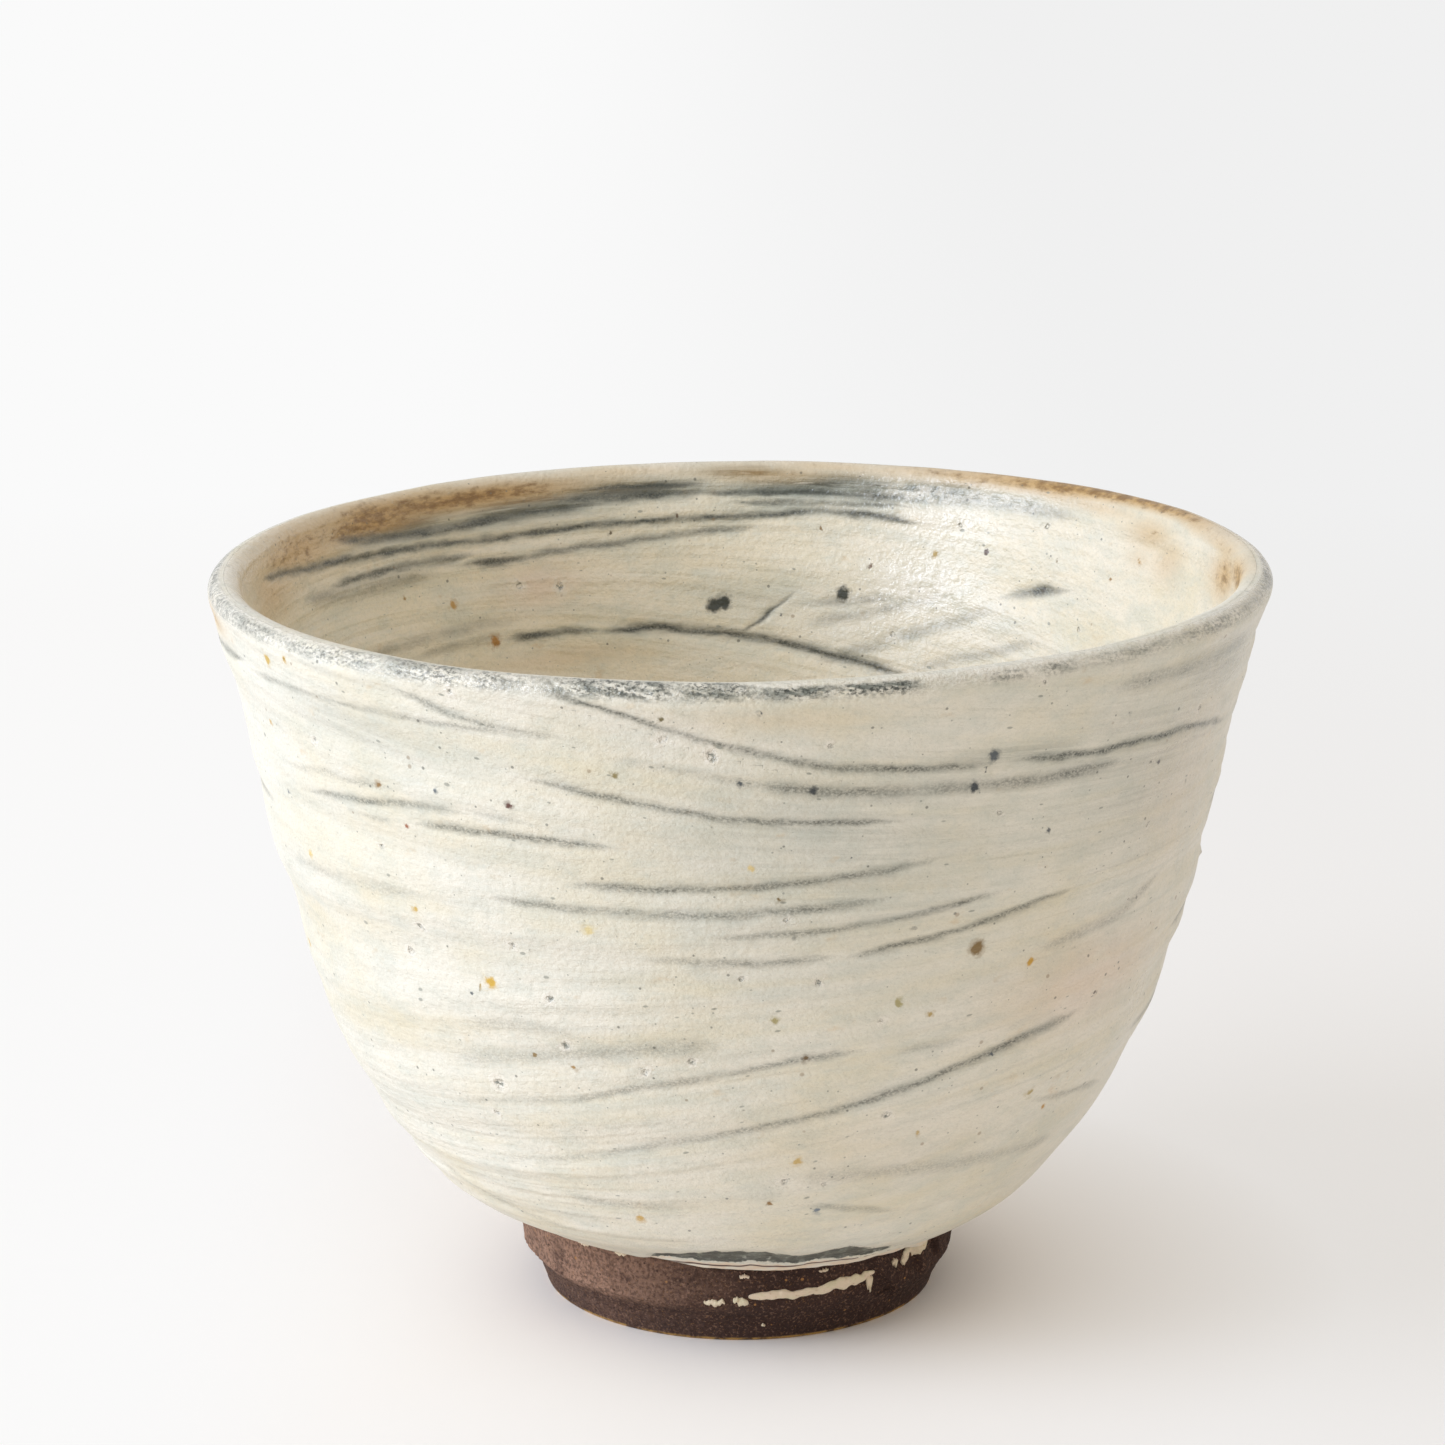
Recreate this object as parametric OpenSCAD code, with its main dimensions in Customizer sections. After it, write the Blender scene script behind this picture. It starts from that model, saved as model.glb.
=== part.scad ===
// Guinomi: a thrown stoneware sake cup with brushed white slip under a clear glaze.
// The origin is the centre of the face that the foot rests on, and +Z is up.
// The clay is thrown first. The slip lies on the clay and the glaze lies on the slip,
// so every coat is the clay's own outline, raised by the thicknesses under it.

/* [Cup] */
// Height from the resting face to the crest of the lip
cup_h = 50.4; // [44:0.2:58]
// Outer diameter of the finished lip
rim_d = 70.6; // [64:0.2:80]
// Thickness of the finished lip, with its coats
lip_t = 2.3; // [1.9:0.1:3.4]
// Lean of the wall at the lip, in degrees from level
lip_lean = 72; // [66:1:80]
// Slope of the wall where it springs from the foot, in degrees from level
spring_slope = 24.4; // [16:0.2:32]
// Height of the clay floor inside, at its centre
floor_h = 9; // [8:0.2:12]

/* [Throwing rings] */
// Number of finger ridges up the outside wall
ring_count = 7; // [3:1:12]
// Depth of the hollows between the ridges
ring_depth = 0.14; // [0:0.02:0.3]

/* [Coats] */
// Thickness of the white slip
slip_t = 0.35; // [0.2:0.05:0.5]
// Thickness of the clear glaze
glaze_t = 0.25; // [0.15:0.05:0.4]
// Width of the band of bare slip between the foot and the glaze
bare_band_w = 1.6; // [0.8:0.2:4]

/* [Foot] */
// Height of the foot, up to where the wall springs
foot_h = 6; // [5.2:0.2:7.6]
// Outer diameter of the foot
foot_d = 30; // [27:0.5:36]
// Outer diameter of the face it rests on
rest_d = 26.66; // [25:0.2:29]
// Width of the face it rests on
rest_w = 2.5; // [1.6:0.1:4]
// Height of the pared bevel outside the resting face
bevel_h = 2.6; // [1.6:0.1:3.2]
// Bevel on the inner edge of the resting face
inner_bevel = 0.5; // [0.2:0.1:1]
// Depth of the hollow under the foot
recess_depth = 5; // [3.6:0.1:5.4]
// Diameter of that hollow at its ceiling
recess_d = 20; // [16:0.5:22]
// Diameter of the small boss left by the trimming tool
boss_d = 7; // [4:0.5:10]
// Height of that boss
boss_h = 0.6; // [0.2:0.1:1]
// Thickness of the slip that ran onto the foot
streak_t = 0.3; // [0.2:0.05:0.4]

/* [Hidden] */

$fn = 96;
// Straight steps along each wall, the bare band, the lip and the boss
wall_steps = 56;
band_steps = 3;
lip_steps = 10;
boss_steps = 6;
streak_steps = 12;

clay_colour = "#59443a";
foot_colour = "#4c3930";
slip_colour = "#e2dac9";
streak_colour = "#c39a7c";
glaze_colour = [0.93, 0.91, 0.86, 0.6];

foot_r = foot_d / 2;
rest_r = rest_d / 2;
recess_r = recess_d / 2;
boss_r = boss_d / 2;
coat_t = slip_t + glaze_t;
clay_lip_r = lip_t / 2 - coat_t;
lip_centre = [rim_d / 2 - lip_t / 2, cup_h - lip_t / 2];

// The wall is a cubic curve. These shares of its chord set how far it swells low down,
// and how long it stays straight under the lip.
belly_share = 0.34;
neck_share = 0.28;
// The inside is flatter: shares of its run along the floor and of its rise to the lip
floor_share = 0.8;
inner_neck_share = 0.5;
// Points of the pared bevel, as shares of its width and height
bevel_shares = [[0.58, 0.38], [0.91, 0.73]];
// Slip streaks on the foot: azimuth from the front and angular width in degrees, then the
// height of the middle, the rise along the streak and its breadth as shares of the foot
streak_shares = [
    [-6, 6, 0.53, 0.00, 0.06],
    [0, 4, 0.54, 0.01, 0.09],
    [11.5, 17, 0.62, -0.02, 0.13],
    [28.5, 17, 0.65, 0.02, 0.15],
    [1.5, 2.4, 0.85, 0.00, 0.06],
    [22, 2.6, 0.85, 0.00, 0.07],
    [46, 3, 0.71, 0.00, 0.08],
    [54, 12, 0.79, 0.02, 0.17],
    [-52, 9, 0.82, -0.02, 0.09],
    [112, 14, 0.80, 0.03, 0.12],
    [163, 20, 0.66, -0.03, 0.11],
    [214, 8, 0.78, 0.01, 0.10],
    [262, 12, 0.60, 0.02, 0.08]
];

// Point and direction of a cubic curve with the corner points p, at share t of the way
function curve_point(p, t) =
    pow(1 - t, 3) * p[0] + 3 * pow(1 - t, 2) * t * p[1]
    + 3 * (1 - t) * t * t * p[2] + pow(t, 3) * p[3];
function curve_slope(p, t) =
    3 * pow(1 - t, 2) * (p[1] - p[0]) + 6 * (1 - t) * t * (p[2] - p[1])
    + 3 * t * t * (p[3] - p[2]);
function right_of(v) = [v[1], -v[0]] / norm(v);
function heading(angle) = [cos(angle), sin(angle)];
function backwards(list) = [for (i = [len(list) - 1:-1:0]) list[i]];

// Outside of the clay, from the foot to the lip
spring_point = [foot_r, foot_h];
outer_top = lip_centre + clay_lip_r * heading(lip_lean - 90);
outer_chord = norm(outer_top - spring_point);
outer_curve = [
    spring_point,
    spring_point + belly_share * outer_chord * heading(spring_slope),
    outer_top - neck_share * outer_chord * heading(lip_lean),
    outer_top
];

// Inside of the clay, from the centre of the floor to the lip
floor_centre = [0, floor_h];
inner_top = lip_centre + clay_lip_r * heading(lip_lean + 90);
inner_curve = [
    floor_centre,
    [floor_share * inner_top.x, floor_h],
    inner_top - inner_neck_share * (inner_top.y - floor_h) * [1 / tan(lip_lean), 1],
    inner_top
];

// Share of the wall at which the glaze starts, from the bare band's width
glaze_start = bare_band_w / norm(curve_slope(outer_curve, 0));
outer_places = concat(
    [for (i = [0:band_steps - 1]) glaze_start * i / band_steps],
    [for (i = [0:wall_steps]) glaze_start + (1 - glaze_start) * i / wall_steps]);

// Hollow between the finger ridges, nothing at both ends of the wall
function ring_hollow(t) = ring_depth * (cos(360 * ring_count * t) - 1) / 2;

// One point of each wall, raised off the clay by lift
function outer_at(t, lift) =
    curve_point(outer_curve, t) + (lift + ring_hollow(t)) * right_of(curve_slope(outer_curve, t));
function inner_at(t, lift) =
    curve_point(inner_curve, t) - lift * right_of(curve_slope(inner_curve, t));
function lip_at(angle, lift) = lip_centre + (clay_lip_r + lift) * heading(angle);

// Outline from a place on the outside wall to the lip's crest, and the same from the floor
function outer_line(first, lift) = concat(
    [for (t = outer_places) if (t >= first) outer_at(t, lift)],
    [for (i = [1:lip_steps]) lip_at(lip_lean - 90 + (180 - lip_lean) * i / lip_steps, lift)]);
function inner_line(lift) = concat(
    [for (i = [0:wall_steps]) inner_at(i / wall_steps, lift)],
    [for (i = [1:lip_steps]) lip_at(lip_lean + 90 - lip_lean * i / lip_steps, lift)]);

// Underside of the bowl inside the foot: a low round boss, then the flat ceiling
boss_line = [for (i = [0:boss_steps])
    [boss_r * i / boss_steps, recess_depth - boss_h * (1 + cos(180 * i / boss_steps)) / 2]];
socket_line = [[recess_r, recess_depth], [recess_r, foot_h]];

foot_line = concat(
    [[rest_r - rest_w, 0], [rest_r, 0]],
    [for (s = bevel_shares) [rest_r + s.x * (foot_r - rest_r), s.y * bevel_h]],
    [[foot_r, bevel_h], [foot_r, foot_h]],
    backwards(socket_line),
    [[rest_r - rest_w - inner_bevel / 2, inner_bevel]]);

// Outline of one streak, round at both ends, as seen from outside
function streak_line(reach, breadth, rise) = concat(
    [for (i = [0:streak_steps]) let (a = 180 * i / streak_steps)
        [-reach * cos(a), breadth / 2 * sin(a) - rise / 2 * cos(a)]],
    [for (i = [1:streak_steps - 1]) let (a = 180 * i / streak_steps)
        [reach * cos(a), -breadth / 2 * sin(a) + rise / 2 * cos(a)]]);

// Coat on the outside or the inside, from one lift above the clay to another
module outer_coat(first, under, over) {
    rotate_extrude() polygon(concat(outer_line(first, under), backwards(outer_line(first, over))));
}

module inner_coat(under, over) {
    rotate_extrude() polygon(concat(inner_line(under), backwards(inner_line(over))));
}

module thrown_bowl() {
    color(clay_colour)
        rotate_extrude()
            polygon(concat(boss_line, socket_line, outer_line(0, 0), backwards(inner_line(0))));
}

module foot_ring() {
    color(foot_colour) rotate_extrude() polygon(foot_line);
}

module outer_slip() {
    color(slip_colour) outer_coat(0, 0, slip_t);
}

module inner_slip() {
    color(slip_colour) inner_coat(0, slip_t);
}

module outer_glaze() {
    color(glaze_colour) outer_coat(glaze_start, slip_t, coat_t);
}

module inner_glaze() {
    color(glaze_colour) inner_coat(slip_t, coat_t);
}

// Streaks are pieces of one thin sleeve on the upright side of the foot, under the slip's edge
module foot_slip_streaks() {
    sleeve_h = foot_h - slip_t - bevel_h;
    color(streak_colour)
        intersection() {
            rotate_extrude()
                translate([foot_r, bevel_h]) square([streak_t, sleeve_h]);
            for (s = streak_shares)
                rotate([90, 0, s[0]])
                    translate([0, s[2] * foot_h])
                        linear_extrude(foot_d)
                            polygon(streak_line(foot_r * sin(s[1] / 2), s[4] * foot_h, s[3] * foot_h));
        }
}

thrown_bowl();
foot_ring();
outer_slip();
inner_slip();
outer_glaze();
inner_glaze();
foot_slip_streaks();
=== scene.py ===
"""Guinomi sake cup: dark stoneware with brushed white slip under a clear satin glaze.

Lengths inside the shape functions are millimetres. The azimuth is 0 at the front of the
cup, which faces -Y, and grows towards +X. Heights are above the face the foot rests on.
"""

import math
from collections import namedtuple

import bpy
import numpy as np
from bpy.props import FloatProperty, FloatVectorProperty, PointerProperty
from bpy.types import Operator, Panel, PropertyGroup
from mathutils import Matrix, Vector


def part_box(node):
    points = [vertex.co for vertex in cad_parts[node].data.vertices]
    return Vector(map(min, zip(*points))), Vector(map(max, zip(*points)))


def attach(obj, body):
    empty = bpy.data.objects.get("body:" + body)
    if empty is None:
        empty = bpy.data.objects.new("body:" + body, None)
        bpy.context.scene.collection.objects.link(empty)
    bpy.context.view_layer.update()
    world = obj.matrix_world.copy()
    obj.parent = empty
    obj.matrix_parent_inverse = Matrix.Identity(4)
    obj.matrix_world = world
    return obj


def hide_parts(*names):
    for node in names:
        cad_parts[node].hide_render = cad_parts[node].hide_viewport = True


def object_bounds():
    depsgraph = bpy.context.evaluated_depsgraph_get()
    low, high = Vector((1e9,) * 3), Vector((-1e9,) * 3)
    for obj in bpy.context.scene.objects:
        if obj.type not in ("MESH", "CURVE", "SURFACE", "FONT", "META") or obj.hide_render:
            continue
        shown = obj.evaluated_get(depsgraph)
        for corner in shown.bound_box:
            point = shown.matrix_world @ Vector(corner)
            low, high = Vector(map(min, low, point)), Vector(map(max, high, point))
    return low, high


bl_info = {
    "name": "Brushed slip guinomi",
    "version": (1, 0, 0),
    "blender": (4, 5, 0),
    "location": "3D View > Sidebar > Cup",
    "description": "A thrown sake cup with brushed slip, clear glaze and a bare turned foot",
    "category": "Object",
}

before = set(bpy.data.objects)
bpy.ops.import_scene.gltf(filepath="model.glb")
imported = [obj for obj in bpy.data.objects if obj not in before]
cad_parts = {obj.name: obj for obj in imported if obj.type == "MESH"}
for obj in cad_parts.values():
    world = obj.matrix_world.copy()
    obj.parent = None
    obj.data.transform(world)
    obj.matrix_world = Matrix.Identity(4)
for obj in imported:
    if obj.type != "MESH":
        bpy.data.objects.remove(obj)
CAD_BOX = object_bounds()

MM = 0.001
TURN = 2 * math.pi
# Rows of random values that the smooth noise is drawn from
LATTICE_ROWS = 512

# Shares of the wall's curves: swell low down and straight run under the lip, outside and in
BELLY_SHARE, NECK_SHARE = 0.34, 0.28
FLOOR_SHARE, INNER_NECK_SHARE = 0.8, 0.5
# Points of the bevel pared on the foot, as shares of its width and height
BEVEL_SHARES = ((0.0, 0.0), (0.58, 0.38), (0.91, 0.73), (1.0, 1.0))


def linear(code):
    """sRGB hex to linear colour: v / 12.92 below 0.04045, else ((v + 0.055) / 1.055) ** 2.4."""
    parts = [int(code[i:i + 2], 16) / 255 for i in (1, 3, 5)]
    return tuple(v / 12.92 if v <= 0.04045 else ((v + 0.055) / 1.055) ** 2.4 for v in parts)


def across(node):
    """Width of a CAD node, in metres."""
    low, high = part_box(node)
    return high.x - low.x


def length(name, about, default):
    """A length that the user may change."""
    return FloatProperty(name=name, description=about, default=default, unit="LENGTH", precision=5)


def tint(name, about, code):
    """A colour that the user may change, given as sRGB hex."""
    return FloatVectorProperty(name=name, description=about, default=linear(code), subtype="COLOR",
                               min=0, max=1)


class CupSizes(PropertyGroup):
    """Sizes of the cup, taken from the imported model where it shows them."""
    height: length("Height", "Height of the lip", CAD_BOX[1][2])
    rim_width: length("Rim width", "Outer diameter of the lip", across("outer_glaze"))
    lip: length("Lip", "Thickness of the finished lip", 0.0023)
    floor_height: length("Floor", "Height of the clay floor inside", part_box("inner_slip")[0].z)
    foot_height: length("Foot height", "Height of the foot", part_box("foot_ring")[1].z)
    foot_width: length("Foot width", "Outer diameter of the foot", across("foot_ring"))
    rest_width: length("Rest width", "Outer diameter of the resting face", 0.02666)
    rest_band: length("Rest band", "Width of the resting face", 0.0025)
    bevel_height: length("Bevel height", "Height of the bevel pared on the foot", 0.0026)
    recess_width: length("Recess width", "Diameter of the hollow under the foot", 0.02)
    recess_depth: length("Recess depth", "Depth of the hollow under the foot", 0.005)
    boss_width: length("Boss width", "Diameter of the boss under the foot", 0.007)
    boss_height: length("Boss height", "Height of the boss under the foot", 0.0006)
    slip: length("Slip", "Thickness of the white slip", 0.00035)
    glaze: length("Glaze", "Thickness of the clear glaze", 0.00025)
    lip_lean: FloatProperty(name="Lip lean", description="Lean of the wall at the lip, from level",
                            default=math.radians(72), subtype="ANGLE")
    spring_slope: FloatProperty(name="Spring slope", description="Slope of the wall at the foot",
                                default=math.radians(24.4), subtype="ANGLE")


class CupColours(PropertyGroup):
    """Colours of the clay, slip and glaze."""
    slip: tint("Slip", "White slip under the glaze", "#e9e4d5")
    warm: tint("Warm slip", "Where the slip is thin and toasted", "#ded3b3")
    # Painted bounce light: the inside of the cup is painted lighter and warmer
    inside_bounce_light: tint("Cream slip", "Warmer slip inside the cup", "#f6e6cb")
    cool: tint("Cool slip", "Where the clay shows through thin slip", "#c8ccc0")
    streak: tint("Streak", "Parted slip along a brush stroke", "#75796f")
    toast: tint("Toasted glaze", "Glaze stained by a little iron", "#c89f5e")
    iron: tint("Iron", "Iron bleeding through the glaze", "#7d5a2a")
    dark: tint("Dark glaze", "Glaze lying on bare clay", "#3a3d35")
    bare: tint("Bare slip", "Unglazed slip at the foot", "#e8d5bd")
    blush: tint("Blush", "Pink blush of the slip", "#e2c8b2")
    # Painted sheen: a white that stands in for the glaze catching the window's light
    sheen_white: tint("Milky glaze", "Thick glaze clouded by bubbles", "#f2ecdf")
    clay: tint("Clay", "Fired stoneware", "#5c4238")
    clay_dark: tint("Dark clay", "Pared and shaded stoneware", "#3b2a25")
    clay_warm: tint("Warm clay", "Stoneware toasted by the flame", "#a17f6b")
    grit: tint("Grit", "Sand and iron grains in the clay", "#b5834f")


# Strokes of the brush: strength, or the strengths of its two ends, half width in mm, then
# (azimuth, height) along the line
OUTSIDE_STROKES = (
    (0.84, 0.26, ((-20, 50.0), (-14, 49.1), (-10, 48.2), (-6, 47.4), (-3, 46.8), (0, 46.4),
                  (5, 45.6), (10, 45.0), (20, 44.5), (27, 44.4))),
    (0.9, 0.26, ((31, 44.3), (40, 43.9), (50, 43.8), (57, 43.6), (62, 43.2), (70, 42.4))),
    (0.53, 0.3, ((-37, 48.9), (-32, 48.0), (-27, 47.3), (-20, 46.9))),
    (0.4, 0.26, ((-62, 46.9), (-50, 46.9), (-37, 47.0), (-26, 46.9), (-18, 46.9))),
    (0.75, 0.43, ((2, 44.1), (7, 43.7), (15, 43.3), (25, 43.1), (35, 42.8), (45, 42.8))),
    (0.31, 0.39, ((-14, 45.8), (-5, 45.0), (0, 44.3), (4, 44.0))),
    (0.75, 0.28, ((-22, 43.8), (-17, 43.4), (-12, 42.9), (-7, 42.4), (0, 41.8), (10, 41.4),
                  (16, 41.3))),
    (0.66, 0.28, ((-55, 39.7), (-48, 40.2), (-38, 40.9), (-31, 41.0))),
    (0.26, 0.3, ((-31, 41.3), (-25, 41.0), (-22, 40.9))),
    (0.75, 0.3, ((-37, 39.7), (-30, 39.8), (-25, 39.9), (-14, 39.7))),
    ((0.2, 0.45), 0.36, ((-60, 41.0), (-53, 41.4), (-47, 41.6), (-41, 41.8))),
    (0.31, 0.26, ((-47, 39.3), (-40, 39.4))),
    (0.7, 0.3, ((-18, 36.9), (-4, 37.0), (5, 37.4), (15, 37.9), (21, 38.4))),
    (0.62, 0.33, ((-28, 35.4), (-10, 35.3), (0, 35.4), (8, 35.7), (16, 36.1))),
    ((0.45, 0.8), 0.3, ((-3, 33.9), (3, 34.0), (12, 34.3), (18, 34.7), (29, 35.6))),
    ((0.25, 0.75), 0.33, ((-12, 32.3), (-4, 32.1), (4, 32.1), (10, 32.3))),
    (0.8, 0.26, ((13, 32.3), (25, 33.2), (35, 34.2), (41, 34.7))),
    (0.25, 0.52, ((-66, 33.8), (-50, 34.2), (-38, 34.6))),
    ((0.2, 0.45), 0.69, ((-40, 22.7), (-25, 24.5), (-10, 25.8), (-2, 26.2))),
    (0.26, 0.6, ((-36, 25.9), (-27, 26.6), (-19, 26.2))),
    ((0.25, 0.6), 0.34, ((-42, 19.4), (-30, 20.8), (-20, 21.7), (-12, 22.9), (0, 24.2), (8, 25.1),
                  (14, 25.5))),
    (0.35, 0.39, ((19, 25.0), (24, 25.3), (29, 25.3))),
    ((0.22, 0.95), 0.36, ((-37, 15.5), (-25, 16.5), (-15, 17.8), (-8, 18.7), (0, 19.6), (8, 20.5),
                  (15, 21.5), (22, 22.4), (30, 23.6), (38, 24.5), (46, 25.2))),
    (0.26, 0.39, ((-58, 12.4), (-40, 10.5), (-30, 9.8))),
    (0.26, 0.43, ((-28, 13.2), (-15, 13.2), (-6, 13.4))),
    (0.4, 0.34, ((10, 13.4), (18, 12.8), (26, 12.0))),
    (0.45, 0.3, ((45, 18.9), (57, 18.1), (64, 17.6))),
    (0.3, 0.69, ((8, 16.0), (25, 15.6), (40, 15.2), (55, 14.8))),
    (0.4, 0.69, ((42, 48.1), (55, 48.0), (71, 47.8))),
    (0.35, 0.52, ((38, 30.8), (52, 31.6), (60, 33.4))),
    # The unseen side, brushed in the same way
    (0.8, 0.28, ((76, 47.2), (90, 46.6), (108, 46.0), (124, 45.8))),
    (0.7, 0.29, ((82, 41.2), (98, 40.8), (112, 40.9))),
    (0.85, 0.28, ((104, 43.6), (122, 42.8), (140, 42.4), (163, 42.3))),
    (0.6, 0.36, ((74, 36.2), (90, 35.6), (110, 35.3), (122, 35.6))),
    (0.75, 0.33, ((70, 28.2), (92, 29.0), (112, 29.2), (132, 28.6))),
    (0.55, 0.43, ((66, 21.4), (88, 22.6), (108, 22.8))),
    (0.9, 0.26, ((150, 48.2), (166, 46.9), (182, 46.2), (204, 46.0))),
    (0.65, 0.31, ((136, 38.6), (158, 38.0), (176, 38.2))),
    (0.8, 0.34, ((128, 20.4), (150, 19.2), (176, 17.6), (200, 16.4))),
    (0.5, 0.6, ((140, 32.2), (160, 31.6), (186, 31.9))),
    (0.8, 0.28, ((196, 40.6), (216, 39.6), (238, 39.2))),
    (0.6, 0.31, ((190, 35.2), (206, 34.6), (220, 34.8))),
    (0.7, 0.29, ((214, 44.2), (232, 43.2), (256, 42.9))),
    (0.45, 0.69, ((196, 26.2), (220, 25.0), (240, 24.8))),
    (0.75, 0.31, ((228, 30.4), (248, 30.0), (270, 30.6))),
    (0.7, 0.34, ((236, 15.2), (262, 16.6), (284, 19.0))),
    (0.55, 0.33, ((252, 36.8), (272, 37.2), (290, 37.0))),
    (0.85, 0.28, ((262, 47.4), (280, 46.8), (295, 47.2))),
    (0.4, 0.43, ((88, 14.2), (112, 13.4), (140, 13.8))),
    (0.35, 0.43, ((188, 11.6), (216, 12.2), (240, 12.0))),
)

INSIDE_STROKES = (
    (1.0, 0.37, ((184, 47.9), (194, 47.9), (204, 48.0))),
    (0.95, 0.26, ((186, 48.5), (192, 48.5), (200, 48.5))),
    (0.9, 0.29, ((156, 48.1), (170, 48.0), (185, 47.9))),
    (0.78, 0.24, ((158, 47.5), (168, 47.3), (180, 47.2))),
    (1.0, 0.42, ((199, 47.6), (208, 47.3), (217, 47.1), (226, 47.1), (234, 47.5), (240, 48.1))),
    (1.0, 0.31, ((156, 46.4), (170, 46.8), (180, 46.2), (195, 46.0), (215, 45.9), (235, 46.5),
                  (245, 46.9), (262, 48.0))),
    (0.67, 0.33, ((178, 45.5), (195, 44.7), (210, 44.3))),
    (0.95, 0.35, ((209, 44.3), (213, 44.2), (219, 44.4))),
    (0.95, 0.35, ((218, 45.0), (232, 45.2), (244, 45.3))),
    (0.45, 0.66, ((225, 44.2), (240, 44.4), (252, 45.2))),
    (1.0, 0.33, ((214, 38.8), (207, 38.8), (200, 38.6))),
    (1.0, 0.37, ((199, 38.5), (192, 38.6), (185, 38.2), (178, 37.8), (172, 37.2), (165, 36.5),
                  (156, 35.8))),
    (1.0, 0.24, ((173, 40.6), (175, 39.8), (177, 38.9), (180, 37.9))),
    (1.0, 0.4, ((132, 43.3), (136, 43.0), (141, 42.2))),
    (0.39, 0.55, ((212, 40.1), (226, 40.0), (242, 39.8))),
    (0.34, 0.44, ((213, 39.2), (230, 38.9))),
    (0.39, 0.61, ((143, 41.0), (152, 39.2), (160, 37.6), (168, 36.2))),
    (0.39, 0.5, ((150, 41.6), (160, 40.0), (170, 38.8))),
    (0.34, 0.55, ((135, 39.4), (145, 37.6), (154, 36.2))),
    (0.5, 0.55, ((133, 48.4), (145, 48.4), (157, 48.5))),
    (0.5, 0.5, ((158, 41.0), (164, 40.6), (170, 40.2))),
    (0.84, 0.44, ((60, 46.2), (35, 45.4), (0, 45.0), (-30, 45.6))),
    (0.73, 0.39, ((45, 41.6), (10, 40.4), (-25, 40.8))),
    (0.9, 0.42, ((-40, 36.0), (-10, 34.6), (25, 34.0), (50, 34.8))),
    (0.67, 0.5, ((70, 30.2), (100, 29.2), (130, 29.6))),
    (0.62, 0.44, ((150, 27.0), (180, 26.2), (215, 26.8), (240, 28.4))),
    (0.78, 0.5, ((255, 22.6), (290, 21.0), (330, 20.8))),
    (0.62, 0.61, ((20, 20.0), (60, 18.8), (110, 19.4))),
    (0.56, 0.66, ((140, 15.6), (190, 14.6), (240, 15.0))),
)

# Spots: azimuth, height, radius in mm, colour
OUTSIDE_SPECKS = (
    (-31, 29.2, 0.5, "#d0a73a"), (-59, 34.9, 0.35, "#ddc27a"), (-57, 48.4, 0.45, "#c8a648"),
    (-53, 49.0, 0.35, "#bf9a40"), (-42, 41.8, 0.3, "#8d6a36"), (-25, 42.0, 0.32, "#5b3227"),
    (-39, 39.3, 0.22, "#9a5a3a"), (-25, 39.9, 0.22, "#6a5638"), (28.5, 31.8, 0.62, "#80642f"),
    (36.8, 30.0, 0.38, "#c8992f"), (25.5, 43.0, 0.42, "#2d3438"), (7.5, 43.7, 0.36, "#35393a"),
    (0, 44.2, 0.3, "#3f4649"), (-3, 42.0, 0.18, "#5f5a45"), (33.5, 23.8, 0.24, "#4b5358"),
    (27.5, 44.9, 0.46, "#4f565a"), (8, 25.1, 0.32, "#6d5632"), (19, 28.7, 0.36, "#aba06f"),
    (23.2, 27.7, 0.3, "#b3985a"), (4, 28.0, 0.36, "#aca070"), (50, 26.3, 0.26, "#6b5d4c"),
    (1, 38.5, 0.34, "#dcc68c"), (4.2, 36.4, 0.24, "#7a6535"), (4.5, 13.8, 0.3, "#8f6b35"),
    (48, 18.0, 0.24, "#b98a38"), (43, 19.8, 0.4, "#b3a06b"), (-13, 44.6, 0.3, "#8a7b4c"),
    (-17.2, 34.0, 0.42, "#dcca96"), (-40, 33.6, 0.3, "#c8a550"), (-62, 43.4, 0.3, "#c4a15c"),
    (-8, 48.4, 0.3, "#6e6238"), (2, 49.0, 0.22, "#3a3f42"), (-16, 12.0, 0.36, "#cca75a"),
    (8, 17.2, 0.36, "#c9ab6a"), (25, 18.6, 0.3, "#c0a56c"), (-26.5, 24.3, 0.26, "#8b7140"),
    (-21.4, 23.8, 0.26, "#a5814a"), (12, 39.0, 0.16, "#4b5052"), (36, 39.2, 0.22, "#55595a"),
    (45, 46.2, 0.22, "#50565a"), (53, 41.9, 0.24, "#6d6a66"), (61, 39.4, 0.2, "#5f605d"),
    (-34, 42.2, 0.24, "#666e72"), (-62, 38.6, 0.24, "#7a7f80"), (-34, 28.2, 0.2, "#5f6668"),
    (20, 33.9, 0.2, "#464c4e"), (6, 33.8, 0.18, "#464c4e"), (12, 12.9, 0.3, "#6f7b86"),
    (110, 40.0, 0.4, "#8d6a36"), (150, 30.0, 0.5, "#a87a35"), (210, 37.0, 0.35, "#4b5052"),
    (245, 33.0, 0.45, "#c8a648"), (180, 22.0, 0.4, "#94865c"), (285, 26.0, 0.4, "#d0a73a"),
)

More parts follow.
